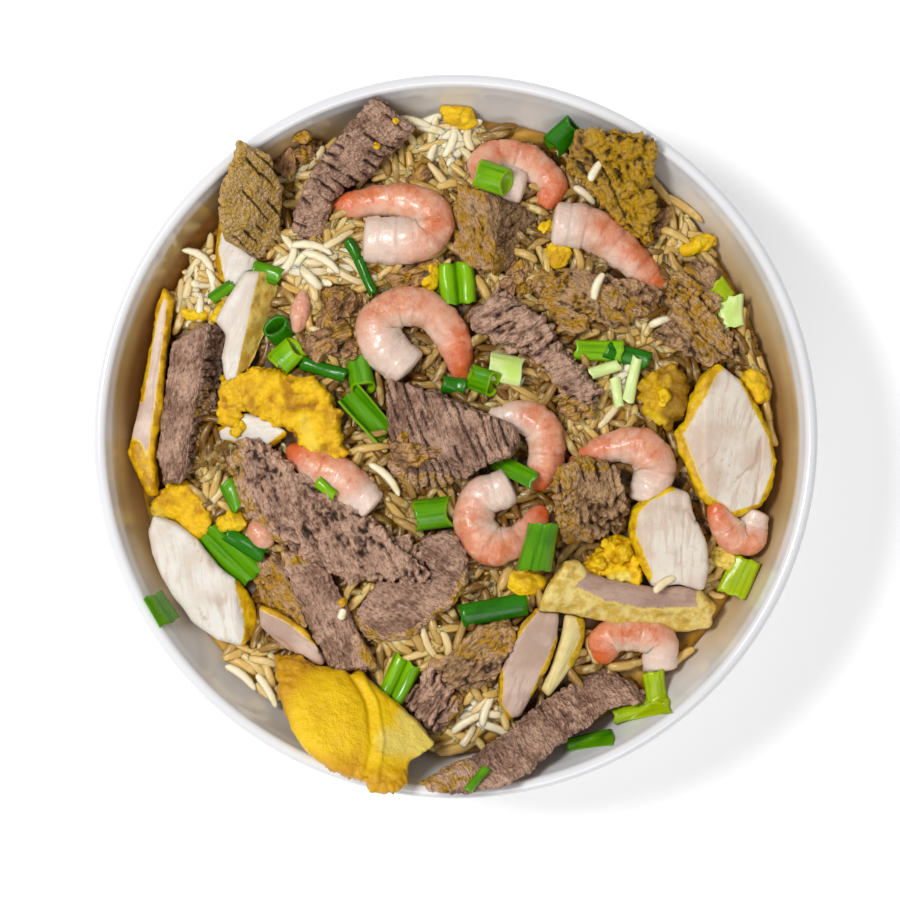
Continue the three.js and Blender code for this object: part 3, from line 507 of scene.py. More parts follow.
def foot_profile():
    """The underside and the foot ring, from inside out, with rounded edges: (radius, z)."""
    inner = FOOT_RADIUS - FOOT_WIDTH
    within = [(inner - 3, UNDERSIDE_Z), (inner - 1, UNDERSIDE_Z - 0.4), (inner, UNDERSIDE_Z - 1.5)]
    standing = [(inner + 0.2, 0.8), (inner + 0.9, 0), (FOOT_RADIUS - 1.4, 0), (FOOT_RADIUS - 0.4, 0.4)]
    return within + standing + [(FOOT_RADIUS, 1.4), (FOOT_RADIUS + 0.3, 8), (FOOT_RADIUS + 1.5, 11.5)]


def painted_wall_shade(points):
    """How strong the painted shade and reflected food colour on the wall are: most at the right, some at the
    left, least in front.
    """
    height = points[:, 2] + 1.5 * noise(points, 22, 9)
    below_rim = smooth_step(RIM_Z - 2, RIM_Z - 7, height)
    near_rice = smooth_step(RIM_Z - 8, RICE_EDGE_Z + 1, height)
    x, y = points[:, 0] / RIM_RADIUS, points[:, 1] / RIM_RADIUS
    left, right = smooth_step(0.3, 1.0, 0.4 * y - x), np.clip(x, 0, 1) ** 4
    return (0.75 * below_rim + 0.4 * near_rice) * (0.12 + 0.72 * left + 0.95 * right)


def lathe(profile, sides):
    """Points (len(profile), sides, 3) of a profile of (radius, z) turned about the bowl's axis."""
    profile = np.array(profile)
    angle = np.arange(sides) * 2 * math.pi / sides
    x = np.outer(profile[:, 0], np.cos(angle))
    y = np.outer(profile[:, 0], np.sin(angle))
    z = np.repeat(profile[:, 1:], sides, axis=1)
    return np.stack([x, y, z], axis=-1)


def make_bowl():
    lip = WALL / 2
    outside = [(wall_radius(z, WALL), z) for z in np.linspace(14, RIM_Z - lip - 1, 24)]
    edge = [(RIM_RADIUS - lip + lip * math.cos(a), RIM_Z - lip + lip * math.sin(a))
            for a in np.linspace(0, math.pi, 9)]
    within = [(wall_radius(z), z) for z in np.linspace(RIM_Z - lip - 2, FLOOR_Z + 1.5, 28)]
    floor = [(within[-1][0] - 3, FLOOR_Z + 0.4), (within[-1][0] - 8, FLOOR_Z), (10, FLOOR_Z)]
    points, faces = closed_tube(lathe(foot_profile() + outside + edge + within + floor, BOWL_SIDES)[::-1])
    wall_shade = painted_wall_shade(points)
    # no painted shade on the rim and the outside
    wall_shade[(len(within) + len(floor)) * BOWL_SIDES:] = 0
    make_piece("bowl_porcelain", points, faces, porcelain_look(), ["bowl"], {"wall_shade": wall_shade})


# ---- rice ------------------------------------------------------------------------------------------
RICE_EDGE = wall_radius(RICE_EDGE_Z) - RICE_GAP
CORE_RINGS = 72
CORE_SIDES = 200
GRAIN_SIDES = 6
GOLDEN_ANGLE = 2.399963     # turn from one grain to the next that spreads them evenly
# for each layer: how many grains, lift, tilt, tone (lower for lower layers, as painted shade), and how
# crowded with toppings their place may be
GRAIN_LAYERS = [(2100, 0.5, 7, 0.44, 0.85), (2000, 1.5, 10, 0.62, 0.65), (1500, 2.5, 13, 0.80, 0.65)]
GRAIN_LENGTH = (9.0, 14.0)
GRAIN_WIDTH = (2.4, 3.1)
GRAIN_BEND = 1.0
GRAIN_SQUASH = 0.8      # a grain's thickness for its width
GRAIN_SINK = 0.6        # how deep grains sink into those below
LID_CLEAR = 0.4         # the room they leave under a topping
MOST_PRESSED = 2.5      # a grain that a topping would press farther down is left out
EDGE_LIFT = 2.6         # how much higher the grains lean at the wall itself
GRAINS_STAND = 2.0      # how far the grains stand above the heap's own surface
# round spots where the rice is browner, and where it is paler: x, y, reach
BROWNER_SPOTS = [(88, 26, 13), (-71, 0, 13), (3, -50, 9), (26, 60, 8), (-21, -10, 8)]
PALE_SPOTS = [(-52, 55, 15), (-24, -7, 8), (-80, -66, 15), (6, -86, 13), (0, 92, 13), (32, 91, 11),
              (97, -42, 11), (-18, 68, 9), (62, 32, 9)]


def in_spots(spots, x, y):
    """How far (x, y) lies inside the round spots, up to 1."""
    return max(float(smooth_step(reach, 0.3 * reach, math.hypot(x - a, y - b))) for a, b, reach in spots)


def rice_top(x, y):
    """Height of the heap, as in the part."""
    out = np.minimum(1, np.hypot(x, y) / RICE_EDGE)
    uneven = 1.2 * np.sin(0.13 * x + 1.3) * np.cos(0.11 * y - 0.4) + 0.9 * np.sin(0.09 * x - 0.17 * y + 2)
    return RICE_EDGE_Z + RICE_RISE * (1 - out * out) ** 0.75 + uneven * (1 - out ** 6)


def edge_lift(x, y):
    """How much higher the grains lean near the wall."""
    return EDGE_LIFT * smooth_step(RICE_EDGE - 10, RICE_EDGE, math.hypot(x, y))


def make_rice_core():
    """The bulk of the rice down to the bowl's floor, with grain-sized relief on top."""
    reach = np.linspace(0.004, 1, CORE_RINGS)
    angle = np.arange(CORE_SIDES) * 2 * math.pi / CORE_SIDES
    x = np.outer(reach * RICE_EDGE, np.cos(angle))
    y = np.outer(reach * RICE_EDGE, np.sin(angle))
    flat = np.column_stack([x.ravel(), y.ravel(), np.zeros(x.size)])
    ridges = [noise(turned(flat, heading), (7, 2.6, 9), seed) for heading, seed in ((25, 3), (-50, 4))]
    relief = np.abs(ridges[0]) + np.abs(ridges[1])
    crowd = np.array([crowding(*spot) for spot in flat[:, :2]])
    darkening = np.array([in_spots(BROWNER_SPOTS, *spot) for spot in flat[:, :2]])
    # painted shade in the relief's hollows and round the toppings, darker still in the browner spots
    hollow = np.maximum(0.2 * smooth_step(0.28, 0.02, relief), smooth_step(0.25, 0.65, crowd))
    hollow = np.maximum(hollow, 0.7 * darkening)
    top = np.stack([x, y, rice_top(x, y) - 1.4 + 1.5 * relief.reshape(x.shape)], axis=-1)
    top[-1, :, 2] = RICE_EDGE_Z - 1.0
    heights = np.linspace(RICE_EDGE_Z - 4, FLOOR_Z + 0.4, 10)
    side = lathe([(wall_radius(z) - RICE_GAP, z) for z in heights], CORE_SIDES)
    points, faces = closed_tube(np.concatenate([top, side])[::-1])
    marks = np.zeros(len(points))
    marks[len(side) * CORE_SIDES:-2] = hollow.reshape(x.shape)[::-1].ravel()
    make_piece("rice_under", points, faces, rice_core_look(), ["rice_heap"], {"hollow": marks})


def grain_form():
    """One straight grain along X of length 2 and width 2: points (rings * sides + 2, 3) and faces."""
    share = np.array([-0.975, -0.84, -0.45, 0, 0.45, 0.84, 0.975])
    radius = (1 - np.abs(share) ** 5) ** 0.5 * (1 - 0.1 * share)
    angle = np.arange(GRAIN_SIDES) * 2 * math.pi / GRAIN_SIDES
    rings = np.stack([np.repeat(share[:, None], GRAIN_SIDES, 1), np.outer(radius, np.cos(angle)),
                      np.outer(radius, np.sin(angle))], axis=-1)
    points, faces = closed_tube(rings)
    points[-2] = (-1, 0, 0)
    points[-1] = (1, 0, 0)
    return points, faces


def place_grains(rows, random):
    """Points, faces and marks of many grains, each from a row of three numbers for its place, then
    heading, tilt, length, width, bend to the side and upwards, tone."""
    columns = np.split(np.array(rows), [3, 4, 5, 6, 7, 8, 9], axis=1)
    centres, headings, tilts, length, width, sideways, upward, tones = columns
    form, form_faces = grain_form()
    along = form[:, 0]
    bow = 1 - along ** 2
    x = along * length / 2
    y = form[:, 1] * width / 2 + sideways * bow
    z = form[:, 2] * width / 2 * GRAIN_SQUASH + upward * bow
    tilt, turn = np.radians(tilts), np.radians(headings)
    x, z = x * np.cos(tilt) - z * np.sin(tilt), x * np.sin(tilt) + z * np.cos(tilt)
    x, y = x * np.cos(turn) - y * np.sin(turn), x * np.sin(turn) + y * np.cos(turn)
    points = np.stack([x, y, z], axis=-1) + centres[:, None, :]
    starts = range(0, len(rows) * len(form), len(form))
    faces = [tuple(start + k for k in face) for start in starts for face in form_faces]
    tones = np.clip(tones[:, 0] + random.normal(0, 0.09, len(rows)), -0.3, 1.1)
    return points.reshape(-1, 3), faces, {"tone": np.repeat(tones, len(form))}


def spiral(count, reach, random):
    """Evenly spread plan positions inside `reach`, a little disordered."""
    index = np.arange(count) + 0.5
    radius = reach * np.sqrt(index / count)
    angle = index * GOLDEN_ANGLE
    spots = np.column_stack([radius * np.cos(angle), radius * np.sin(angle)])
    return spots + random.normal(0, 0.35 * reach / math.sqrt(count), (count, 2))


def crowding(x, y):
    """The share of the plan round (x, y) that lies under toppings."""
    turns = [k * math.pi / 3 for k in range(6)]
    spots = [(x + far * math.cos(a + far), y + far * math.sin(a + far)) for far in (3.5, 7) for a in turns]
    return sum(topping_top(*spot) is not None for spot in spots) / len(spots)


def draw_grain(x, y, layer, random):
    """A grain of a layer drawn at (x, y), as a row for place_grains, or None where it has no room."""
    _, lift, steep, tone, most_crowded = GRAIN_LAYERS[layer]
    heading, length = random.uniform(0, 180), random.uniform(*GRAIN_LENGTH)
    width, tilt = random.uniform(*GRAIN_WIDTH), random.normal(0, steep)
    bends = random.normal(0, GRAIN_BEND, 2)
    ends = [(x + s * 0.45 * length * math.cos(math.radians(heading)),
             y + s * 0.45 * length * math.sin(math.radians(heading))) for s in (-1, 1)]
    reach = max(math.hypot(*end) for end in ends)
    if reach > RICE_EDGE + 1:
        heading = math.degrees(math.atan2(y, x)) + 90 + random.normal(0, 12)    # along the wall
        ends, reach = [(x, y)], math.hypot(x, y)
        if reach > RICE_EDGE - 1.5:
            return None
    place = np.array([[x, y, 0.0]])
    if layer and noise(place, 14, 20 + layer)[0] < -0.25:
        return None
    lids = [topping_top(*spot) for spot in [(x, y)] + ends]
    height = float(rice_top(x, y)) + lift - GRAIN_SINK + edge_lift(x, y)
    room = min([lid for lid in lids if lid] + [1e9]) - width / 2 - LID_CLEAR
    if all(lids) or height - room > MOST_PRESSED or under_leaf(x, y):
        return None
    if room < height:
        height, tilt = room, 0
    crowd = crowding(x, y)
    at_wall = reach > RICE_EDGE - 4
    if crowd > most_crowded or (crowd > 0.25 and at_wall):
        return None
    darkening = 0.7 * in_spots(BROWNER_SPOTS, x, y) - 0.45 * in_spots(PALE_SPOTS, x, y) + 0.1 * x / RICE_EDGE
    # grains crowded between the toppings get painted shade
    darkening += 1.5 * crowd - 0.35 * noise(place, 24, 31)[0]
    return x, y, height, heading, tilt, length, width, *bends, tone - darkening


def under_leaf(x, y):
    """Whether a scallion leaf, which is thinner than its solid or has none, covers (x, y)."""
    leaves = [(leaf[:2], leaf[2] / 2) for leaf in SMALL_LEAVES]
    leaves += [(leaf[:2], leaf[2][:, 0].max()) for leaf in LEAVES.values()]
    return any(near(np.array([[x, y]]), line)[0] < half for line, half in leaves)


def make_grains():
    """All the loose grains of the heap that show, layer over layer."""
    random = np.random.default_rng(11)
    rows = []
    for layer, (count, *_) in enumerate(GRAIN_LAYERS):
        rows += [draw_grain(x, y, layer, random) for x, y in spiral(count, RICE_EDGE + 1.5, random)]
    points, faces, marks = place_grains([row for row in rows if row], random)
    make_piece("rice_grains", within_wall(points), faces, rice_look(), ["rice_heap"], marks)


# ---- where things lie ------------------------------------------------------------------------------
WALL_CLEAR = 0.4        # how far things stay off the bowl's wall
HIGH_ABOVE = 150.0      # above everything


def within_wall(points):
    """The points, drawn in so that none lies in the bowl's wall."""
    share = (wall_radius(points[:, 2]) - WALL_CLEAR) / np.hypot(points[:, 0], points[:, 1])
    share = np.minimum(1, share)
    return points * np.column_stack([share, share, np.ones(len(points))])


def solids_tree(names):
    """One search tree over the solids of the named nodes, in millimetres."""
    points, faces = [], []
    for name in names:
        start = len(points)
        mesh = NODES[name].data
        points += [tuple(p) for p in vertex_values(mesh, "co") / MM]
        faces += [[start + k for k in face.vertices] for face in mesh.polygons]
    return BVHTree.FromPolygons(points, faces)


TOPPINGS_TREE = solids_tree(sorted(set(NODES) - {"bowl", "rice_heap"}))


def topping_top(x, y):
    """Height of the toppings at (x, y), or None where the rice shows."""
    hit = TOPPINGS_TREE.ray_cast(Vector((x, y, HIGH_ABOVE)), Vector((0, 0, -1)))[0]
    return hit.z if hit else None


def surface_at(x, y):
    """Height of what small things lie on at (x, y): a topping, or the grains."""
    return max(topping_top(x, y) or 0, float(rice_top(x, y)) + GRAINS_STAND + edge_lift(x, y))


def wall_height(out):
    """Height at which the bowl's inner wall is `out` from the axis."""
    heights = np.linspace(FLOOR_Z + 2, RIM_Z, 60)
    return np.interp(out, [wall_radius(height) for height in heights], heights)


# ---- beef ------------------------------------------------------------------------------------------
BEEF_LOOKS = {     # meat, its lighter fibres, gold crust, cracks, how much gold there is all over, flakes
    # the lighter colour also paints light on raised parts, the crack colour paints shade
    "mauve": (0x846454, 0xD4B09A, 0xB8903C, 0x24140E, -0.12),
    "brown": (0x86664A, 0xC6A27E, 0xB88C38, 0x2C1B12, 0.12),
    "ochre": (0x7A5A34, 0xB89450, 0xB48C28, 0x2A1C0C, 0.3, (3.0, 2.2)),
    "tan": (0x94744C, 0xCCAC80, 0xC4A05A, 0x33220E, 0.30),
}

# heading of the fibres and cracks, how far apart and deep the cracks are, how crumbly the face is,
# the look, and lines along which it is gold with how far the gold reaches
BEEF = {
    "beef_back_left": (-47, 3.8, 1.4, 0.5, "tan", [([(-70, 86), (-60, 66)], 10)]),
    "beef_left": (80, 5.5, 0.15, 0.35, "mauve", [([(-76, 14), (-78, 8)], 2)]),
    "beef_dark_lower": (-50, 3.2, 0.8, 0.8, "brown", [([(-60, -40), (-50, -56)], 4)]),
    "beef_strip_lower": (-62, 3.4, 0.2, 0.8, "mauve",
                         [([(-53, -36), (-46, -37)], 2.5), ([(-30, -62), (-25, -70)], 2)]),
    "beef_slice_lower": (-30, 5.0, 0.15, 0.45, "mauve",
                         [([(-31, -57), (-22, -63), (-12, -60), (0, -50), (4, -42)], 1.8)]),
    "beef_long": (-64, 4.6, 0.3, 1.7, "mauve", [([(-66, -4), (-67, -14), (-62, -24), (-54, -33)], 2.6)]),
    "beef_top": (-28, 3.4, 1.5, 0.5, "mauve", [([(-50, 60), (-47, 58)], 2.4)]),
    "beef_two_tone": (-68, 2.6, 0.5, 0.6, "brown", [([(2, 74), (3, 60), (8, 52)], 6)]),
    "beef_top_right": (-58, 3.8, 1.1, 1.9, "ochre", [([(48, 88), (57, 76), (55, 64)], 6)]),
    "beef_right": (-20, 4.6, 0.8, 1.4, "brown",
                   [([(28, 48), (34, 36), (38, 33)], 6), ([(44, 42), (54, 38)], 4)]),
    "beef_shreds": (-40, 3.8, 1.0, 1.5, "brown", [([(68, 48), (80, 26)], 5)]),
    "beef_diagonal": (28, 3.0, 0.9, 1.5, "mauve", [([(24, 20), (34, 7), (41, 7)], 3.4)]),
    "beef_centre": (-68, 2.5, 1.1, 0.35, "mauve", [([(-20, -8), (-14, -15), (-4, -14)], 3.2)]),
    "beef_bottom": (-62, 2.6, 0.55, 0.5, "mauve", [([(-9, -105), (2, -101)], 4)]),
    "beef_ragged_low": (62, 3.6, 1.3, 1.2, "mauve", [([(0, -86), (1, -78)], 2)]),
    "beef_gold_low": (40, 4.0, 0.15, 1.5, "brown", [([(4, -62), (16, -60)], 5)]),
    "beef_block": (-76, 4.2, 1.3, 1.5, "brown",
                   [([(32, -12), (33, -28), (40, -34)], 3.4), ([(36, -7), (44, -8)], 2.4)]),
}
# edges from which the face to the right slopes down: start, end, fall for each mm
BEVELS = {
    "beef_left": ((-83, -14), (-75.5, 34), 0.8),
    "beef_centre": ((12, 6.2), (-17, 16.6), 0.5),
    "beef_two_tone": ((11.5, 52), (14, 75), 0.45),
    "chicken_wedge_left": ((-67, 18), (-60, 50), 0.5),
}
BEVEL_WIDTH = 9         # how far beyond the edge the face goes on falling
BEEF_VOXEL = 0.45       # size of the remeshed copy's faces


def meat_relief(points, heading, apart, depth, crumbly, seed):
    """Height of cooked meat's fibres, crumbs and cracks at points, and its marks: painted shade low, painted
    light high, grain.
    """
    grain = turned(points, heading, points.mean(0))
    grain[:, 1] += 1.3 * noise(points, 11, seed) + 0.35 * noise(points, 2.6, seed + 1)
    line = np.round(grain[:, 1] / apart)
    away = np.abs(grain[:, 1] - line * apart)
    run = np.column_stack([grain[:, 0], 9 * line, grain[:, 2]])
    strong = smooth_step(-0.25, 0.4, noise(run, (7, 1, 9), seed + 2))
    wide = 0.25 + 0.22 * noise(run, (3, 1, 6), seed + 3)
    crack = strong * smooth_step(wide + 0.32, 0.25 * wide, away)
    rough = crumbly * (0.45 + 0.55 * smooth_step(-0.4, 0.4, noise(points, 8, seed + 5)))
    big = creased(grain, (5.6, 2.2, 3.2), seed + 20) - 0.25
    small = creased(grain, (2.1, 1.5, 1.7), seed + 30) - 0.25
    tiny = creased(points, 1.25, seed + 40) - 0.25
    fibre_and_highlight = noise(grain, (4, 0.95, 3), seed + 8)
    fine = noise(points, 1.0, seed + 10)
    detail = rough * (1.9 * big + 1.2 * small) + (0.3 + 0.5 * rough) * tiny
    detail += 0.16 * fibre_and_highlight + (0.08 + 0.12 * rough) * fine - depth * crack
    # painted shade where the relief lies low, painted light where it stands high
    hollow = 0.95 * smooth_step(-0.25, -0.85, detail)
    pale = 0.85 * smooth_step(0.0, 0.6, detail + 0.15 * noise(points, 5, seed + 12))
    return detail + 0.7 * noise(points, 5, seed + 9), {"hollow": hollow, "fibre_and_highlight": pale, "grain": grain}


def bevel(node, points, normals):
    """How far each point of a piece's upper side drops beyond its edge, and its share in that slope."""
    if node not in BEVELS:
        return np.zeros(len(points)), np.zeros(len(points))
    start, end, fall = BEVELS[node]
    beyond = side_of(points, start, end)
    drop = -fall * np.clip(beyond, 0, BEVEL_WIDTH) * smooth_step(-0.2, 0.6, normals[:, 2])
    return drop, smooth_step(-0.6, 0.8, beyond)


def add_cut_side(points, heading, beyond, seed, rise, marks):
    """The relief with that of a sloping cut side, whose fibres run across the others, laid over it."""
    side_rise, side_marks = meat_relief(points, heading - 80, 2.6, 0.9, 0.9, seed)
    for mark, value in side_marks.items():
        is_side = (beyond > 0.5).reshape(-1, *[1] * (value.ndim - 1))
        marks[mark] = np.where(is_side, value, marks[mark])
    # painted shade over the sloping side face, painted highlight along its top edge
    marks["hollow"] = np.maximum(marks["hollow"], 0.35 * beyond)
    marks["fibre_and_highlight"] = np.maximum(marks["fibre_and_highlight"] * (1 - 0.5 * beyond), 3.6 * beyond * (1 - beyond))
    return rise + beyond * (side_rise - 0.2 - rise)


def make_beef():
    looks = {kind: beef_look("beef_" + kind, *colours) for kind, colours in BEEF_LOOKS.items()}
    for seed, (node, (heading, apart, depth, crumbly, kind, gold)) in enumerate(BEEF.items()):
        piece, points, normals = fine_copy(node, BEEF_VOXEL, 2)
        rise, marks = meat_relief(points, heading, apart, depth, crumbly, 40 * seed)
        drop, beyond = bevel(node, points, normals)
        if node in BEVELS:
            rise = add_cut_side(points, heading, beyond, 40 * seed + 20, rise, marks)
        points[:, 2] += drop
        marks["gold"] = np.zeros(len(points))
        for line, wide in gold:
            marks["gold"] = np.maximum(marks["gold"], smooth_step(wide * 1.5, wide * 0.4, near(points, line)))
        shape_copy(piece, node, "_meat", points + normals * rise[:, None], looks[kind], marks)


# ---- chicken, skin and egg -------------------------------------------------------------------------
CHICKEN_LOOKS = {
    "white": (0xE4E0D8, 0xD8CBBC, 0xE0B626, 0xB68824),
    "tan": (0xE4DED6, 0xD8CBBC, 0xE6CC74, 0xD2A850),
    "pink": (0xD6C0B0, 0xBA9E8E, 0xDCB43A, 0xB98A30),
    "beige": (0xDCC8B8, 0xC4A998, 0xE0B424, 0xB98A22),
    "lemon": (0xE2D49E, 0xD0BC7C, 0xDCC040, 0xB8962E),
    "cream": (0xE2D9CC, 0xD2BEAC, 0xE2C020, 0xCC9C20),
    "banded": (0xC2A594, 0xA88A7A, 0xE6D28C, 0xCFAE52),
}

# the look, heading of the meat's fine lines, and the lines of skin: how far each reaches, how strong
CHICKEN = {
    "chicken_strip_left": ("beige", 80, [
        ([(-85, 46), (-87, 28), (-89.5, 8), (-91.5, -6), (-93, -18)], 2.6, 1),
        ([(-90, 46), (-92.5, 38), (-95, 26), (-97, 12)], 1.8, 0.9),
        ([(-100, -5), (-95, -17)], 4.5, 1), ([(-90, 46), (-86, 45)], 3.5, 1)]),
    "chicken_bit_upper": ("white", 70, [([(-73, 68), (-75, 58), (-73, 48)], 2.2, 0.9)]),
    "chicken_wedge_left": ("tan", 62, []),
    "chicken_slab_left": ("white", 100, [
        ([(-62, -64), (-61, -56), (-64, -45)], 3.4, 1), ([(-67, -41), (-80, -29)], 1.2, 0.8)]),
    "chicken_strip_lower": ("pink", -38, [([(-60, -50), (-50, -55), (-40, -63)], 2.2, 0.9)]),
    "chicken_bit_left": ("white", 10, [
        ([(-70, -3), (-57, -4.5), (-50, 1)], 1.8, 1), ([(-73, 3), (-66, 7)], 1.5, 1)]),
    "chicken_strip_bottom": ("lemon", 62, [
        ([(39, -54), (41, -61), (37, -69)], 2.4, 0.9), ([(31, -58), (25, -78)], 1.3, 0.7)]),
    "chicken_bottom": ("pink", 66, [
        ([(13, -72), (12.5, -83), (17, -88)], 1.7, 1), ([(24, -79), (31.5, -62)], 1.2, 0.8),
        ([(25, -52), (16, -64)], 0.8, 0.7)]),
    "chicken_curved": ("banded", -12, [
        ([(34, -51), (44, -55.5), (56, -58), (72, -58)], 5.4, 0.9),
        ([(79, -57), (78, -49)], 4.0, 1), ([(26, -52), (31, -44), (36, -38)], 4.6, 1)]),
    "chicken_round": ("cream", 90, [([(57, -42), (52, -30), (53, -22), (58, -17), (65, -14)], 2.6, 1)]),
    "chicken_right": ("cream", 78, [
        ([(76, 21), (70, 10), (65, 1), (69, -10), (73, -20), (80, -25)], 4.0, 1),
        ([(80, 24), (75, 20)], 3.4, 1), ([(88, 18), (97, 0), (99, -9), (94, -22)], 1.5, 1),
        ([(82, -25), (92, -22)], 1.2, 1)]),
}
CHICKEN_VOXEL = 0.75
YELLOW_VOXELS = (0.7, 0.55)         # of the smooth piece, and of the crumbly ones


def make_chicken():
    looks = {kind: chicken_look("chicken_" + kind, *colours) for kind, colours in CHICKEN_LOOKS.items()}
    for seed, (node, (kind, heading, skins)) in enumerate(CHICKEN.items(), start=400):
        piece, points, normals = fine_copy(node, CHICKEN_VOXEL, 5)
        drop, beyond = bevel(node, points, normals)
        skin = 0.75 * beyond
        for line, wide, strength in skins:
            skin = np.maximum(skin, strength * smooth_step(wide * 1.45, wide * 0.55, near(points, line)))
        grain = turned(points, heading, points.mean(0))
        grain[:, 1] += 1.2 * noise(points, 9, seed)
        strand = smooth_step(0.10, 0.0, np.abs(noise(grain, (16, 2.4, 9), seed + 20)))
        strand *= smooth_step(0.1, 0.5, noise(points, 9, seed + 40)) * (1 - skin)
        rise = 0.35 * noise(points, 6, seed + 60) + 0.08 * noise(points, 1.6, seed + 80) - 0.5 * strand
        rise += skin * (0.4 * noise(points, 2.4, seed + 100) + 0.22 * noise(points, 1.2, seed + 120))
        points[:, 2] += drop
        hollow = 0.5 * skin * smooth_step(0.4, 0.8, noise(points, 2.0, seed + 140))
        marks = {"skin": skin, "line": 0.4 * strand, "hollow": hollow, "grain": grain}
        shape_copy(piece, node, "_meat", points + normals * rise[:, None], looks[kind], marks)
YELLOW_LOOKS = {    # bright, deep, pale, how rough, how blotchy
    "skin": ("skin_gold", 0xF2C41E, 0xBE8616, 0xF4DA74, 0.45),
    "egg": ("egg_yolk", 0xF7CE2C, 0xD59C16, 0xF0DE8C, 0.22, 0.3),
    "olive": ("egg_olive", 0xDCAE1C, 0x8E6410, 0xE8CC5C, 0.38),
}


# slot, look, how lumpy and crumbly each is, and the pale line with its reach
YELLOW = {
    "skin_left": ("skin", "skin", 0.8, 0.8, ([(-92, -24), (-86, -29)], 3)),
    "skin_arc": ("skin", "skin", 0.9, 1.0, ([(-46, 5), (-43, -4)], 2.6)),
    "egg_half": ("egg", "egg", 0.35, 0.0, ([(-20, -92), (-8, -94), (-14, -86)], 5)),
    "egg_right": ("egg", "olive", 0.8, 0.9, ([(60, 6), (62, 4)], 2)),
    "egg_crumbs": ("egg", "egg", 1.2, 1.4, ([(47, -44), (52, -43)], 2)),
}
OLIVE_EDGE = ((60.5, 6), (65.5, 20))        # egg_right is deeper in colour beyond this line
# egg_half: the middle of the round yolk, the crease beside it, and the ridge along the crease
YOLK = (-38, -84)
CREASE = [(-33, -70), (-27, -80), (-25, -92), (-27, -103)]
RIDGE = [(-30, -71), (-24, -81), (-22, -92), (-24, -104)]


def shape_egg_half(points, rise, crumbs, crevice, marks, seed):
    """The round yolk with a crease beside it, crumbly at the foot and edges only."""
    out = np.hypot(points[:, 0] - YOLK[0], points[:, 1] - YOLK[1])
    lobes = smooth_step(-96, -104, points[:, 1]) + 0.8 * smooth_step(13, 17, out) * (points[:, 0] < -36)
    lobes = np.clip(lobes, 0, 1)
    rise += 1.6 * smooth_step(14, 5, out) - 1.1 * smooth_step(1.6, 0, near(points, CREASE))
    rise += 0.8 * smooth_step(1.1, 0, near(points, RIDGE)) + lobes * crumbs
    # painted shade between the crumbs of the lobes
    marks["hollow"] = 0.3 * lobes * crevice
    left = smooth_step(-24, -31, points[:, 0] + 2 * noise(points, 5, 7))
    rim = smooth_step(9, 17, out + 2 * noise(points, 4, seed + 90))
    marks["deep"] = np.maximum(rim * left, 0.8 * lobes)
    return rise


def crumble(points, size, seed):
    """Height of crumbs about `size` across, and how deep each point lies between them."""
    big = creased(points, 1.3 * size, seed)
    small = creased(points, 0.6 * size, seed + 10)
    crevice = np.maximum(smooth_step(0.14, 0.02, big), 0.6 * smooth_step(0.12, 0.02, small))
    tiny = creased(points, 0.42 * size, seed + 20)
    return 2.0 * (big - 0.25) + 0.9 * (small - 0.25) + 0.7 * (tiny - 0.25), crevice


def make_yellow():
    looks = {kind: yellow_look(*values) for kind, values in YELLOW_LOOKS.items()}
    for seed, (node, (slot, kind, lumpy, crumbly, (line, wide))) in enumerate(YELLOW.items(), start=600):
        piece, points, normals = fine_copy(node, YELLOW_VOXELS[crumbly > 0], 4)
        crumbs, crevice = crumble(points, 2.8, seed + 20)
        rise = lumpy * noise(points, 4.6, seed) + crumbly * crumbs + 0.16 * noise(points, 1.6, seed + 40)
        marks = {
            # painted shade between the crumbs
            "hollow": 0.5 * min(1, crumbly) * crevice * smooth_step(-0.1, 0.4, noise(points, 5, seed + 60)),
            "pale": 0.8 * smooth_step(wide * 1.6, wide * 0.3, near(points, line)),
            # painted shade where the surface lies low
            "deep": smooth_step(0.2, -0.9, rise + 0.6 * noise(points, 7, seed + 80)),
        }
        if node == "egg_right":
            marks["deep"] = 0.8 * np.maximum(smooth_step(0, 3, side_of(points, *OLIVE_EDGE)), marks["deep"])
        if node == "egg_half":
            rise = shape_egg_half(points, rise, crumbs, crevice, marks, seed)
        shape_copy(piece, node, "_food", points + normals * rise[:, None], looks[kind], marks)


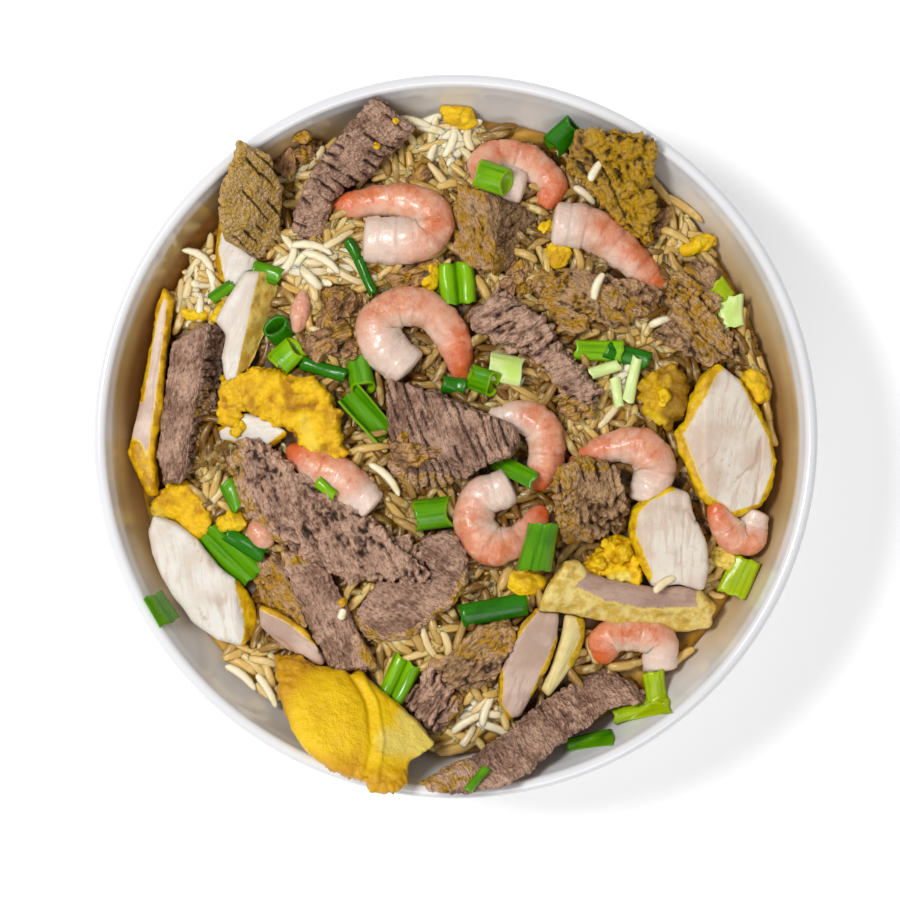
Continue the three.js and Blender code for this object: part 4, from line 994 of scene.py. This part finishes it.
# ---- shrimp ----------------------------------------------------------------------------------------
# from the cut head end to the tail: (x, y, radius)
SHRIMP = {
    "shrimp_low_left": [(-28, -19, 5.8), (-34, -13.5, 6.4), (-41, -9.5, 6), (-49, -5, 4)],
    "shrimp_top_left": [(-23, 60, 7.3), (-17, 59.6, 7.2), (-9, 61, 6.6), (-7, 67.5, 6.2), (-14, 71.5, 5.8),
                        (-24, 72.2, 4.9), (-33, 71, 3.8), (-41, 69, 1.8)],
    "shrimp_top": [(17.6, 77.4, 5.6), (11.5, 79, 5.6), (9.6, 84.2, 5.4), (17, 86, 5.3), (25, 82.5, 5.3),
                   (29.5, 77, 5), (28, 71.6, 3.6)],
    "shrimp_right_top": [(34.5, 64.5, 6.9), (41, 63.5, 6.7), (48, 59.5, 6), (56, 52.5, 5.2),
                         (64.5, 45.5, 2.4)],
    "shrimp_mid_right": [(13, 5, 4.4), (20, 6, 5), (26, 3, 5.8), (27.6, -4, 5.8), (26.6, -11, 5),
                         (23.6, -15.6, 3)],
    "shrimp_centre": [(-17.4, 23.4, 6.9), (-21.8, 27.6, 7.2), (-23.6, 34, 6.6), (-17.5, 39, 6.2),
                      (-8.5, 38.4, 6), (-2, 32, 5.4), (1, 24, 4.6), (1.6, 16, 1.8)],
    "shrimp_bottom_right": [(62.6, -68.4, 5.4), (62, -62.6, 5.6), (54.5, -60.6, 4.9), (46.8, -61.6, 5.2),
                            (45.4, -66.5, 4.6)],
    "shrimp_right": [(59, -16.5, 5.6), (61, -9, 6.6), (56.5, -3.4, 6.4), (48.5, -3, 5), (41, -5.6, 3.8),
                     (36, -8.5, 2.4)],
    "shrimp_far_right": [(91.6, -25.6, 4.4), (89.4, -31, 5.6), (84, -29, 5.2), (79.4, -21.6, 3)],
    "shrimp_low": [(13.4, -16.4, 5.8), (7.2, -19.4, 6), (5.6, -27, 6.2), (11, -33, 6.2), (19, -31.4, 5),
                   (26, -23.5, 3.6)],
}
SHRIMP_RINGS = 96
SHRIMP_SIDES = 36
SHRIMP_SQUASH = 0.82    # a shrimp's height for its width
SEGMENT = 5.2           # length of one segment of the tail


def smooth_path(path, count):
    """`count` evenly spaced entries on a smooth curve through the path's entries, and their distances."""
    path = np.array(path, float)
    padded = np.vstack([2 * path[0] - path[1], path, 2 * path[-1] - path[-2]])
    fine = []
    for i in range(len(path) - 1):
        p0, p1, p2, p3 = padded[i:i + 4]
        for t in np.linspace(0, 1, 24, endpoint=(i == len(path) - 2)):
            fine.append(0.5 * (2 * p1 + (p2 - p0) * t + (2 * p0 - 5 * p1 + 4 * p2 - p3) * t ** 2
                               + (3 * p1 - p0 - 3 * p2 + p3) * t ** 3))
    fine = np.array(fine)
    run = np.concatenate([[0], np.cumsum(np.linalg.norm(np.diff(fine[:, :2], axis=0), axis=1))])
    even = np.linspace(0, run[-1], count)
    return np.column_stack([np.interp(even, run, fine[:, k]) for k in range(path.shape[1])]), even


def shrimp_radius(spine, run, phase):
    """The radius along a shrimp: rounded at both ends, each segment a step, with a groove between."""
    head_end = np.clip(run / 1.8, 0, 1)
    tail_end = np.clip((run[-1] - run) / (1.3 * spine[-1, 2]), 0, 1)
    taper = (1 - (1 - head_end) ** 3) ** 0.4 * (1 - (1 - tail_end) ** 2) ** 0.5
    groove = smooth_step(0.84, 0.97, phase) + smooth_step(0.14, 0.0, phase)
    step = 0.05 * (phase - 0.5)
    return np.maximum(spine[:, 2] * taper * (1 + step - 0.025 * groove), 0.05), groove


def with_tips(path):
    """The path carried on at both ends by most of the end's radius, as the solid is."""
    path = [np.array(entry, float) for entry in path]
    ends = []
    for end, before in ((path[0], path[1]), (path[-1], path[-2])):
        along = (end - before)[:2]
        along *= 0.75 * end[2] / np.linalg.norm(along)
        ends.append(np.array([end[0] + along[0], end[1] + along[1], end[2] * 0.96]))
    return [ends[0]] + path + [ends[1]]


def make_shrimp():
    look = shrimp_look()
    angle = np.arange(SHRIMP_SIDES) * 2 * math.pi / SHRIMP_SIDES
    out, up = np.cos(angle), np.sin(angle)
    for seed, (node, path) in enumerate(SHRIMP.items(), start=800):
        spine, run = smooth_path(with_tips(path), SHRIMP_RINGS)
        along = np.gradient(spine[:, :2], axis=0)
        along /= np.linalg.norm(along, axis=1)[:, None]
        side = np.column_stack([-along[:, 1], along[:, 0]])
        bend = np.gradient(np.unwrap(np.arctan2(along[:, 1], along[:, 0])), run)
        radius, groove = shrimp_radius(spine, run, (run / SEGMENT) % 1)
        base = resting_on(node)(spine[:, 0], spine[:, 1])
        rings = np.empty((SHRIMP_RINGS, SHRIMP_SIDES, 3))
        rings[:, :, :2] = spine[:, None, :2] + side[:, None, :] * (radius[:, None] * out)[:, :, None]
        rings[:, :, 2] = base[:, None] + SHRIMP_SQUASH * (spine[:, 2][:, None] + radius[:, None] * up)
        points, faces = closed_tube(rings)
        middle = np.column_stack([spine[:, :2], base + SHRIMP_SQUASH * spine[:, 2]])
        away = points - np.vstack([np.repeat(middle, SHRIMP_SIDES, axis=0), middle[0], middle[-1]])
        away /= np.maximum(np.linalg.norm(away, axis=1), 1e-6)[:, None]
        rise = 0.45 * noise(points, 4.2, seed) + 0.2 * noise(points, 1.7, seed + 20)
        points = points + away * rise[:, None]
        spread = lambda values: np.append(values.ravel(), [values[0].mean(), values[-1].mean()])
        outer = np.repeat((-np.sign(np.sum(bend)) * out)[None], SHRIMP_RINGS, axis=0)
        back = smooth_step(-0.75, 0.35, outer + 0.2 * up[None])
        share = (run / run[-1])[:, None] + 0 * outer
        patchy = smooth_step(-0.5, 0.5, noise(points, 4, seed + 60))
        marks = {
            "back": spread(back) * (0.75 + 0.25 * noise(points, 5, seed + 40)),
            "ring": spread(0.3 * groove[:, None] * back) * patchy,
            "head": 0.85 * spread(smooth_step(0.38, 0.1, share)),
            "tail": 0.8 * spread(smooth_step(0.65, 1.0, share)),
            "grain": np.column_stack([spread(run[:, None] + 0 * outer), spread(outer) * 6 + 20 * seed,
                                      away[:, 2] * 6]),
        }
        make_piece(node + "_flesh", points, faces, look, [node], marks)


# ---- scallions -------------------------------------------------------------------------------------
SCALLION_LOOKS = {     # leaf, its darker streaks, inside
    "bright": (0x86BA12, 0x5C980A, 0xA6CE34),
    "green": (0x5E9C0C, 0x3E7C08, 0x8EBA22),
    "dark": (0x2E7616, 0x1A5810, 0x4E8C20),
    "lime": (0xAABE2C, 0x86A41C, 0xC8D862),
    "pale": (0xE0EDB0, 0xC4DC80, 0xEEF5D4),
}


def arc(radius, start, end, count=15):
    """Cross-section of an opened tube, from one angle to another (90 is straight up)."""
    angle = np.radians(np.linspace(start, end, count))
    return np.column_stack([radius * np.cos(angle), radius * (1 + np.sin(angle))])


def smooth_bends(bends, count=17):
    """Cross-section of a leaf that bends smoothly through the given (across, up)."""
    return smooth_path([(x, up, 0) for x, up in bends], count)[0][:, :2]


def twin_fold(wide, high):
    """Cross-section of a leaf creased into two round folds side by side."""
    half = [(0.1, 0.75), (0.25, 1), (0.42, 0.8), (0.5, 0)]
    both = [(-x, up) for x, up in reversed(half)] + [(0, 0.25)] + half
    return smooth_bends([(x * wide, up * high) for x, up in both], 25)


TUBES = {   # from, to, width, height, look, slant of the two cut ends
    "scallion_left": ((-54.6, 21.8), (-48.6, 27.4), 8.6, 6, "bright", (0.3, -0.5)),
    "scallion_top": ((6.4, 80.2), (15.6, 77.2), 8.8, 7.6, "bright", (0.1, -0.45)),
    "scallion_rim": ((29.6, 88.8), (36.6, 95), 8, 6.4, "dark", (0.2, -0.3)),
    "scallion_pale": ((10.4, 21.6), (20.6, 19.6), 9, 6.8, "pale", (-0.1, -0.2)),
    "scallion_short": ((4.2, 18.4), (11.6, 15.8), 8, 7.2, "green", (0.15, -0.5)),
    "scallion_open": ((-30.6, 26.6), (-28.2, 14.4), 8, 6.6, "green", (0.2, -0.6)),
    "scallion_dark": ((1.6, -54.8), (21.6, -51.2), 7.2, 5, "dark", (0.1, 0.15)),
    "scallion_tube_low": ((-12.4, -24.2), (-1, -22.8), 9.4, 8.2, "green", (0.1, -0.45)),
}
LEAVES = {  # from, to, cross-section, look
    "scallion_fold_left": ((-77, -29), (-62, -43.5),
                           smooth_bends([(-4.6, 0.4), (-2.4, 1.8), (0, 1), (2.4, 2.2), (4.6, 0.6)]), "green"),
    "scallion_twin_lower": ((-20, -80), (-14.6, -68.6), twin_fold(8.6, 3.4), "bright"),
    "scallion_folded": ((-0.2, 53), (1, 40.4), twin_fold(10.4, 4.6), "bright"),
    "scallion_split": ((-33, 13.6), (-21, 0), arc(3.6, 170, 370), "green"),
    "scallion_half": ((23.6, -40.4), (26.4, -26), arc(4.6, 200, -20), "green"),
    "scallion_flat": ((11.6, -7), (23.8, -13.4),
                      smooth_bends([(-2.8, 0), (-1, 0.5), (1, 0.5), (2.8, 0)]), "green"),
    "scallion_wall": ((-92, -48), (-86.8, -56.6),
                      smooth_bends([(-2.7, 0), (-1, 0.9), (1, 0.9), (2.7, 0)]), "green"),
}
TUBE_SIDES = 40
TUBE_WALL = 0.85        # thickness of the leaf in the tubes
RING_WALL = 0.9         # in the standing rings
LEAF_WALL = 0.75        # in the opened leaves


def laid_along(local, start, end, base):
    """Points (across, up, run) laid along the line start -> end, over the plane function `base`."""
    run = np.array(end, float) - np.array(start, float)
    run /= np.linalg.norm(run)
    x = start[0] + run[0] * local[..., 2] - run[1] * local[..., 0]
    y = start[1] + run[1] * local[..., 2] + run[0] * local[..., 0]
    return np.stack([x, y, local[..., 1] + base(x, y)], axis=-1)


def tube_parts(start, end, wide, high, slants, base, seed):
    """A hollow length: the outer wall out, and the inner wall back."""
    length = math.dist(start, end)
    steps = 14
    angle = np.arange(TUBE_SIDES) * 2 * math.pi / TUBE_SIDES
    rows = []
    for inset, shares in (0, np.linspace(0, 1, steps)), (TUBE_WALL, np.linspace(1, 0, steps)):
        for share in shares:
            wobble = 1 + 0.03 * np.sin(2 * angle + seed) + 0.02 * np.sin(3 * angle + 2 * share + seed)
            across = (wide / 2 - inset) * np.cos(angle) * wobble
            up = high / 2 + (high / 2 - inset) * np.sin(angle) * wobble
            slant = slants[0] * (1 - share) + slants[1] * share
            run = length * share + slant * (up - high / 2) + 0.25 * np.sin(3 * angle + seed + 5 * share)
            rows.append(np.stack([across, up, run], axis=-1))
    rings = laid_along(np.array(rows), start, end, base)
    faces = ring_faces(len(rows), TUBE_SIDES, loops_back=True)
    inner = np.concatenate([np.zeros(steps - 1), [0.7, 0.7], np.full(steps - 2, 0.9), [0.7]])
    local = np.array(rows).reshape(-1, 3)
    grain = np.column_stack([local[:, 2], local[:, 0] + 20 * seed, local[:, 1]])
    return rings.reshape(-1, 3), faces, {"inner": np.repeat(inner, TUBE_SIDES), "grain": grain}


def standing_ring(middle, halves, high, heading, lean):
    """A short length of leaf standing on its cut end, leaning by `lean` for each mm of height."""
    steps = 9
    angle = np.arange(TUBE_SIDES) * 2 * math.pi / TUBE_SIDES
    rows = []
    for inset, shares in (0, np.linspace(0, 1, steps)), (RING_WALL, np.linspace(1, 0, steps)):
        for share in shares:
            along = (halves[0] - inset) * np.cos(angle)
            across = (halves[1] - inset) * np.sin(angle) + lean * high * share
            rows.append(np.stack([along, across, high * share + 0.3 * np.sin(2 * angle)], axis=-1))
    local = np.array(rows).reshape(-1, 3)
    points = turned(local, -heading) + [middle[0], middle[1], surface_at(*middle) + 0.2]
    grain = np.column_stack([local[:, 2], np.tile(6 * angle, 2 * steps), 0 * points[:, 2]])
    inner = np.repeat([0, 0.2], steps * TUBE_SIDES)
    return points, ring_faces(2 * steps, TUBE_SIDES, loops_back=True), {"inner": inner, "grain": grain}


def leaf_parts(start, end, section, base, seed, curl=0.0):
    """A strap of leaf with the given cross-section; `curl` lifts its ends by that much."""
    length = math.dist(start, end)
    steps = max(8, int(length / 0.9))
    tangent = np.gradient(section, axis=0)
    tangent /= np.linalg.norm(tangent, axis=1)[:, None]
    normal = np.column_stack([-tangent[:, 1], tangent[:, 0]])
    grids = []
    for sign in (1, -1):
        across, up = (section + sign * normal * LEAF_WALL / 2).T
        slant = 0.18 * across * np.sin(seed) + 0.3 * np.sin(1.7 * across + seed)
        rows = []
        for share in np.linspace(0, 1, steps):
            wave = 0.25 * np.sin(6 * share + seed + 0.5 * across)
            height = up + LEAF_WALL / 2 + wave + curl * (2 * share - 1) ** 2
            narrowed = across * (1 - 0.06 * math.sin(3 * share + seed))
            rows.append(np.stack([narrowed, height, length * share + slant], axis=-1))
        grids.append(laid_along(np.array(rows), start, end, base))
    points, faces = shell(*grids)
    inner = np.repeat([0, 0.8], steps * len(section))
    run, across = np.meshgrid(np.linspace(0, length, steps), section[:, 0], indexing="ij")
    grain = np.column_stack([run.ravel(), across.ravel() + 20 * seed, 0 * run.ravel()])
    return points, faces, {"inner": inner, "grain": np.vstack([grain, grain])}


def make_scallions():
    """The tubes and leaves, and their looks for the small pieces."""
    looks = {kind: scallion_look("scallion_" + kind, *colours) for kind, colours in SCALLION_LOOKS.items()}
    parts = {}
    for seed, (node, (start, end, wide, high, kind, slants)) in enumerate(TUBES.items()):
        parts[node] = kind, tube_parts(start, end, wide, high, slants, resting_on(node), seed)
    for seed, (node, (start, end, section, kind)) in enumerate(LEAVES.items(), start=20):
        parts[node] = kind, leaf_parts(start, end, section, resting_on(node), seed)
    for node, (kind, (points, faces, marks)) in parts.items():
        make_piece(node + "_green", points, faces, looks[kind], [node], marks)
    return looks


def resting_on(node):
    """The height at (x, y) of the sloping plane that a node's solid rests on, as a function."""
    points = vertex_values(NODES[node].data, "co") / MM
    flat = np.column_stack([np.ones(len(points)), points[:, :2]])
    (height, slope_x, slope_y), *_ = np.linalg.lstsq(flat, points[:, 2], rcond=None)
    under = float(np.min(points[:, 2] - flat @ [height, slope_x, slope_y]))
    return lambda x, y: height + slope_x * x + slope_y * y + under


# ---- the small pieces on the rice ------------------------------------------------------------------
SMALL_LEAVES = [    # from, to, width, look, how much the ends lift
    ((-62, 51.5), (-53.5, 48.5), 5, "green", 0.6), ((-75, 42), (-68, 46.5), 3, "green", 0.2),
    ((-33, 60), (-29.5, 54), 2.6, "dark", 0.3), ((-29.8, 54.4), (-25, 43.5), 2.6, "dark", 0.5),
    ((-47, 22.5), (-33.5, 18.5), 4, "dark", 0.3), ((36.5, 26.5), (51, 26), 6, "bright", 0.8),
    ((46, 26.5), (59, 23), 5, "dark", 1.2), ((-70, -29.4), (-58.6, -36.6), 4.2, "dark", 0.3),
    ((-70, -13.5), (-66, -22), 5, "green", 0.8), ((-42, -13.5), (-36.5, -18), 3, "bright", 0.2),
    ((60.5, -72), (62, -82), 6.4, "lime", 0.4), ((48.5, -86), (65, -81), 4.6, "lime", 0.2),
    ((34, -94.5), (48, -91.5), 3.4, "green", 0.4), ((3.6, -106.2), (9.4, -99.6), 2, "green", 0.3),
    ((84.5, -48.5), (89.5, -37.5), 8.5, "lime", 0.4), ((79.5, 47), (84, 42), 5, "lime", 0.4),
    ((84, 43), (84.5, 33.5), 8, "pale", 0.8), ((-4, 16), (3, 15), 5, "dark", 0.5),
    ((55.5, 24), (52.5, 10.5), 3, "pale", 1.4), ((50, 9), (48.5, 18), 2.6, "pale", 0.8),
    ((41, 19), (50, 22), 3, "pale", 0.6),
]
STANDING_RINGS = [  # middle, half sizes along and across, height, heading, lean, look
    ((-53, 31.2), (4.2, 2.7), 4.4, 38, 0.75, "dark"),
]
# middle, half sizes along, across and up, heading
BEEF_CRUMBS = [
    ((-45.5, 87.5), (4.8, 3.6, 3.0), 10), ((-52, 83.5), (4.6, 2.6, 2.8), 100),
    ((-9.5, 81), (5.2, 4.2, 3.4), 40), ((-35.5, 41), (5.8, 5.2, 4.2), 30),
    ((-39, 29.5), (7.2, 5.6, 4.2), 30), ((-32, 25.5), (3, 2.6, 2.4), 10),
    ((-13.5, 48.5), (6.4, 3.8, 3.6), 20), ((18, 48), (5, 2.8, 2.8), 60),
    ((21, 45.5), (3.6, 1.8, 2), 30), ((63, 66), (3.4, 2.4, 2.2), 60),
    ((-48, 92), (2.8, 2, 2), 30), ((36, 8.5), (4.4, 2.6, 2.4), 10),
    ((-58, -44), (3, 2.2, 2), 20), ((-13, -6), (6.5, 3.4, 2.4), 10), ((-17, -2), (3, 2.2, 1.8), 60),
]
YELLOW_CRUMBS = [
    ((1.5, 98), (5.8, 3.6, 2.8), -12), ((75, 59), (5.8, 2.8, 2.6), 14), ((31, 56), (4.6, 4, 3.2), 40),
    ((27.5, 63.5), (2.6, 2.2, 2), 70), ((92, 15.5), (5.4, 3.8, 3), 110),
    ((-79.5, 37.5), (5.4, 1.7, 1.8), -8), ((-72, 38.5), (3.8, 1.7, 1.8), 50),
    ((-68, -26), (4.6, 3.4, 3), 10), ((20.5, -44.5), (6.4, 4.2, 3.2), -10),
    ((-7.8, 49), (4.8, 2.2, 3), 80), ((82, -37.5), (5.6, 3.4, 2.8), -12),
    ((-34.8, -50.5), (1.3, 1.2, 1.0), 0), ((-66.5, 2.5), (2.8, 2.0, 1.8), 50),
    ((-18, 96), (1.1, 0.9, 0.9), 0), ((-24, 88.5), (1.0, 0.8, 0.8), 0),
    ((43.5, -38.5), (2.6, 2.2, 2.2), 20), ((51, -36), (3.2, 2.4, 2.6), 60),
    ((47, -32.5), (2.2, 1.9, 2.0), 0), ((63, 12), (2.2, 3.2, 2.4), 10),
]
PALE_CRUMB = [(80, -37), (84, -38)]         # the yellow crumb along this line is nearly white
# the ends of shrimps that are mostly buried, and their marks
PINK_BITS = [((-59.6, -30), (4.8, 3.8, 3.4), -50), ((-47.6, 38), (6.4, 3, 3.2), 80)]
PINK_MARKS = {"back": 0.7, "ring": 0.0, "head": 0.15, "tail": 0.0}
LOOSE_LIFT = 1.3        # how high a single grain's middle lies above what carries it
LOOSE_WIDTH = 2.7
STEEPEST_LEAF = 0.6     # the most a small leaf slopes
LEAF_CLEAR = 1.1        # how far it stays above what it lies on
LOOSE_GRAINS = [    # (x, y), heading, length, sideways bend, tone: grains that stand out or lie on toppings
    ((42.5, 80.5), 58, 7.5, 0.3, 1.0), ((39.5, 74), -40, 8.5, 0.5, 0.9), ((43.5, 45.5), 70, 9, 0.8, 1.0),
    ((63.5, -45), 35, 8, 0.6, 0.9), ((62.5, 35), 20, 7.5, 0.2, 0.9), ((-34.5, -54), 70, 3.5, 0, 1.0),
    ((-13, 96), -12, 12, 0.8, 1.0), ((-8, 97), 25, 8, 0.2, 0.9), ((53, 20), 60, 9, 1, 1.0),
    ((49.5, 17), 40, 8, 0.5, 0.95), ((-52, 54.5), 62, 12, -1.8, 1.1), ((-44, 57), -12, 13, 1.6, 1.1),
    ((-41, 53), -30, 13, 1.4, 1.0), ((-79, 53), -42, 13, 2.6, 1.0), ((-76, 46), -88, 11, 2.0, 1.0),
    ((-2, 92), 75, 13, -1.5, 1.0), ((-7, 84), 80, 12, 1.2, 0.9),
    ((-66, -74), -40, 12, 1.0, 1.1), ((-58, -78), -60, 12, 0.6, 1.1), ((-21.7, -13.2), -47, 13.5, 1.4, 1.1),
    ((4, -88), 30, 12, 0.8, 1.1), ((10, -84), 70, 11, 0.8, 1.1), ((12, -90), -20, 12, 0.6, 1.0),
    ((70, 70), -35, 14, 0.6, 0.4), ((62, 76), -50, 13, 0.5, 0.4), ((66, 62), -25, 13, 0.8, 0.5),
]


def crumb_parts(middle, halves, heading, rough, seed):
    """A rough rounded lump resting on what lies under its middle."""
    polar = np.linspace(0.06, math.pi - 0.06, 26)
    points, faces = closed_tube(lathe(np.column_stack([np.sin(polar), np.cos(polar)]), 34)[::-1])
    away = points / np.maximum(np.linalg.norm(points, axis=1), 1e-6)[:, None]
    spot = away * np.array(halves) + np.array([*middle, 7.0 * seed])
    crumbs, crevice = crumble(spot, 2.4, seed)
    shape = 1 + 0.3 * rough * noise(spot, 3.2, seed + 5)
    points = away * shape[:, None] * np.array(halves) + away * (rough * crumbs)[:, None]
    base = max(surface_at(*middle), wall_height(math.hypot(*middle))) + 0.15 * halves[2]
    points = turned(points, -heading) + [*middle, base]
    # painted shade between the crumbs
    return within_wall(points), faces, {"hollow": 0.6 * rough * crevice, "grain": spot}


def laid_on(start, end):
    """The height at (x, y) of what a leaf rests on: a slope, turned up where it meets the bowl's wall."""
    start, run = np.array(start, float), np.array(end, float) - start
    length = float(np.linalg.norm(run))
    run /= length
    shares = (0, 0.5, 1)
    heights = [surface_at(*(start + run * length * share)) for share in shares]
    slope = float(np.clip((heights[2] - heights[0]) / length, -STEEPEST_LEAF, STEEPEST_LEAF))
    clear = max(height - slope * length * share for height, share in zip(heights, shares)) + LEAF_CLEAR

    def height_at(x, y):
        sloping = clear + slope * ((x - start[0]) * run[0] + (y - start[1]) * run[1])
        return np.maximum(sloping, wall_height(np.hypot(x, y)) + 0.3)
    return height_at


def make_small_scallions(looks):
    """The small leaves and rings, one joined mesh for each look."""
    by_look = {}
    for seed, (start, end, wide, kind, curl) in enumerate(SMALL_LEAVES, start=40):
        section = smooth_bends([(-wide / 2, 0), (-wide / 5, 0.9), (wide / 5, 1.0), (wide / 2, 0.1)], 9)
        by_look.setdefault(kind, []).append(leaf_parts(start, end, section, laid_on(start, end), seed, curl))
    for *place, kind in STANDING_RINGS:
        by_look.setdefault(kind, []).append(standing_ring(*place))
    for kind, parts in by_look.items():
        points, faces, marks = joined(parts)
        make_piece("scallion_bits_" + kind, points, faces, looks[kind], ["rice_heap"], marks)


def make_crumbs():
    """The crumbs of beef and of egg and the shrimps' ends that lie on the rice, one joined mesh for each."""
    points, faces, marks = joined([crumb_parts(*row, 1.3, 900 + k) for k, row in enumerate(BEEF_CRUMBS)])
    marks["gold"] = 0.25 + 0.5 * noise(points, 4, 950)
    marks["fibre_and_highlight"] = 0.5 * smooth_step(0, 0.8, noise(points, 1.5, 960))
    look = beef_look("beef_crumb", 0x8A6648, 0xCCA27C, 0xC0943C, 0x2E1C10, 0.1)
    make_piece("beef_crumbs", points, faces, look, ["rice_heap"], marks)

    points, faces, marks = joined([crumb_parts(*row, 0.7, 1000 + k) for k, row in enumerate(YELLOW_CRUMBS)])
    marks["pale"] = np.maximum(0.5 * smooth_step(0.1, 0.7, noise(points, 5, 1050)),
                               smooth_step(7, 5, near(points, PALE_CRUMB)))
    marks["deep"] = smooth_step(0.2, 0.8, noise(points, 6, 1060))
    look = yellow_look("egg_bit", 0xF6CE2E, 0xD8A41C, 0xF2DA7C, 0.42)
    make_piece("egg_bits", points, faces, look, ["rice_heap"], marks)

    points, faces, marks = joined([crumb_parts(*row, 0.22, 1100 + k) for k, row in enumerate(PINK_BITS)])
    even = {mark: np.full(len(points), value) for mark, value in PINK_MARKS.items()}
    even["grain"] = marks["grain"]
    make_piece("shrimp_bits", points, faces, shrimp_look(), ["rice_heap"], even)


def make_loose_grains():
    """The single grains that lie on the toppings or stand out of the heap."""
    random = np.random.default_rng(5)
    rows = []
    for (x, y), heading, length, bend, tone in LOOSE_GRAINS:
        tilt, rise = random.normal(0, 5), random.normal(0, 0.5)
        height = surface_at(x, y) + LOOSE_LIFT
        rows.append((x, y, height, heading, tilt, length, LOOSE_WIDTH, bend, rise, tone))
    points, faces, marks = place_grains(rows, random)
    make_piece("rice_loose", points, faces, rice_look(), ["rice_heap"], marks)


# ---- camera, light and floor -----------------------------------------------------------------------
def make_camera():
    """Straight above, so far up and so placed that the rim fills the same pixels as in the picture."""
    scale = 2 * RIM_RADIUS / RIM_PIXELS
    middle = PICTURE_SIDE / 2
    x = (middle - AXIS_PIXEL[0]) * scale
    y = (AXIS_PIXEL[1] - middle) * scale
    camera = bpy.data.objects.new("camera", bpy.data.cameras.new("camera"))
    camera.data.sensor_width = SENSOR
    camera.data.lens = SENSOR * CAMERA_HEIGHT / (PICTURE_SIDE * scale)
    camera.data.clip_end = 100
    camera.location = Vector((x, y, RIM_Z + CAMERA_HEIGHT)) * MM
    bpy.context.scene.collection.objects.link(camera)
    bpy.context.scene.camera = camera


def add_softbox(name, place, side, power):
    data = bpy.data.lights.new(name, "AREA")
    data.shape = "DISK"
    data.size = side
    data.energy = power
    light = bpy.data.objects.new(name, data)
    light.location = place
    light.rotation_euler = (Vector(LIGHT_AIM) - Vector(place)).to_track_quat("-Z", "Y").to_euler()
    bpy.context.scene.collection.objects.link(light)


def make_light():
    world = bpy.data.worlds.new("studio")
    world.use_nodes = True
    world.node_tree.nodes["Background"].inputs["Color"].default_value = WHITE
    world.node_tree.nodes["Background"].inputs["Strength"].default_value = ROOM_LIGHT
    bpy.context.scene.world = world
    add_softbox("key", *KEY_LIGHT)
    add_softbox("fill", *FILL_LIGHT)
    bpy.context.scene.view_settings.view_transform = "Standard"


def make_floor():
    """A pale floor that glows a little, so that the bowl's shadow on it stays faint."""
    far = FLOOR_REACH * MM
    corners = [(-far, -far, 0), (far, -far, 0), (far, far, 0), (-far, far, 0)]
    mesh = bpy.data.meshes.new("floor")
    mesh.from_pydata(corners, [], [(0, 1, 2, 3)])
    floor = bpy.data.objects.new("floor", mesh)
    bpy.context.scene.collection.objects.link(floor)
    look = Look("floor", Roughness=0.9, Emission_Color=WHITE, Emission_Strength=FLOOR_GLOW)
    look.colour(look.mix(look.noise(400, 2), 0xFBFBFB, 0xF8F8F8))
    mesh.materials.append(look.material)


make_camera()
make_light()
make_floor()
make_bowl()
make_rice_core()
make_grains()
make_beef()
make_chicken()
make_yellow()
make_shrimp()
make_small_scallions(make_scallions())
make_crumbs()
make_loose_grains()
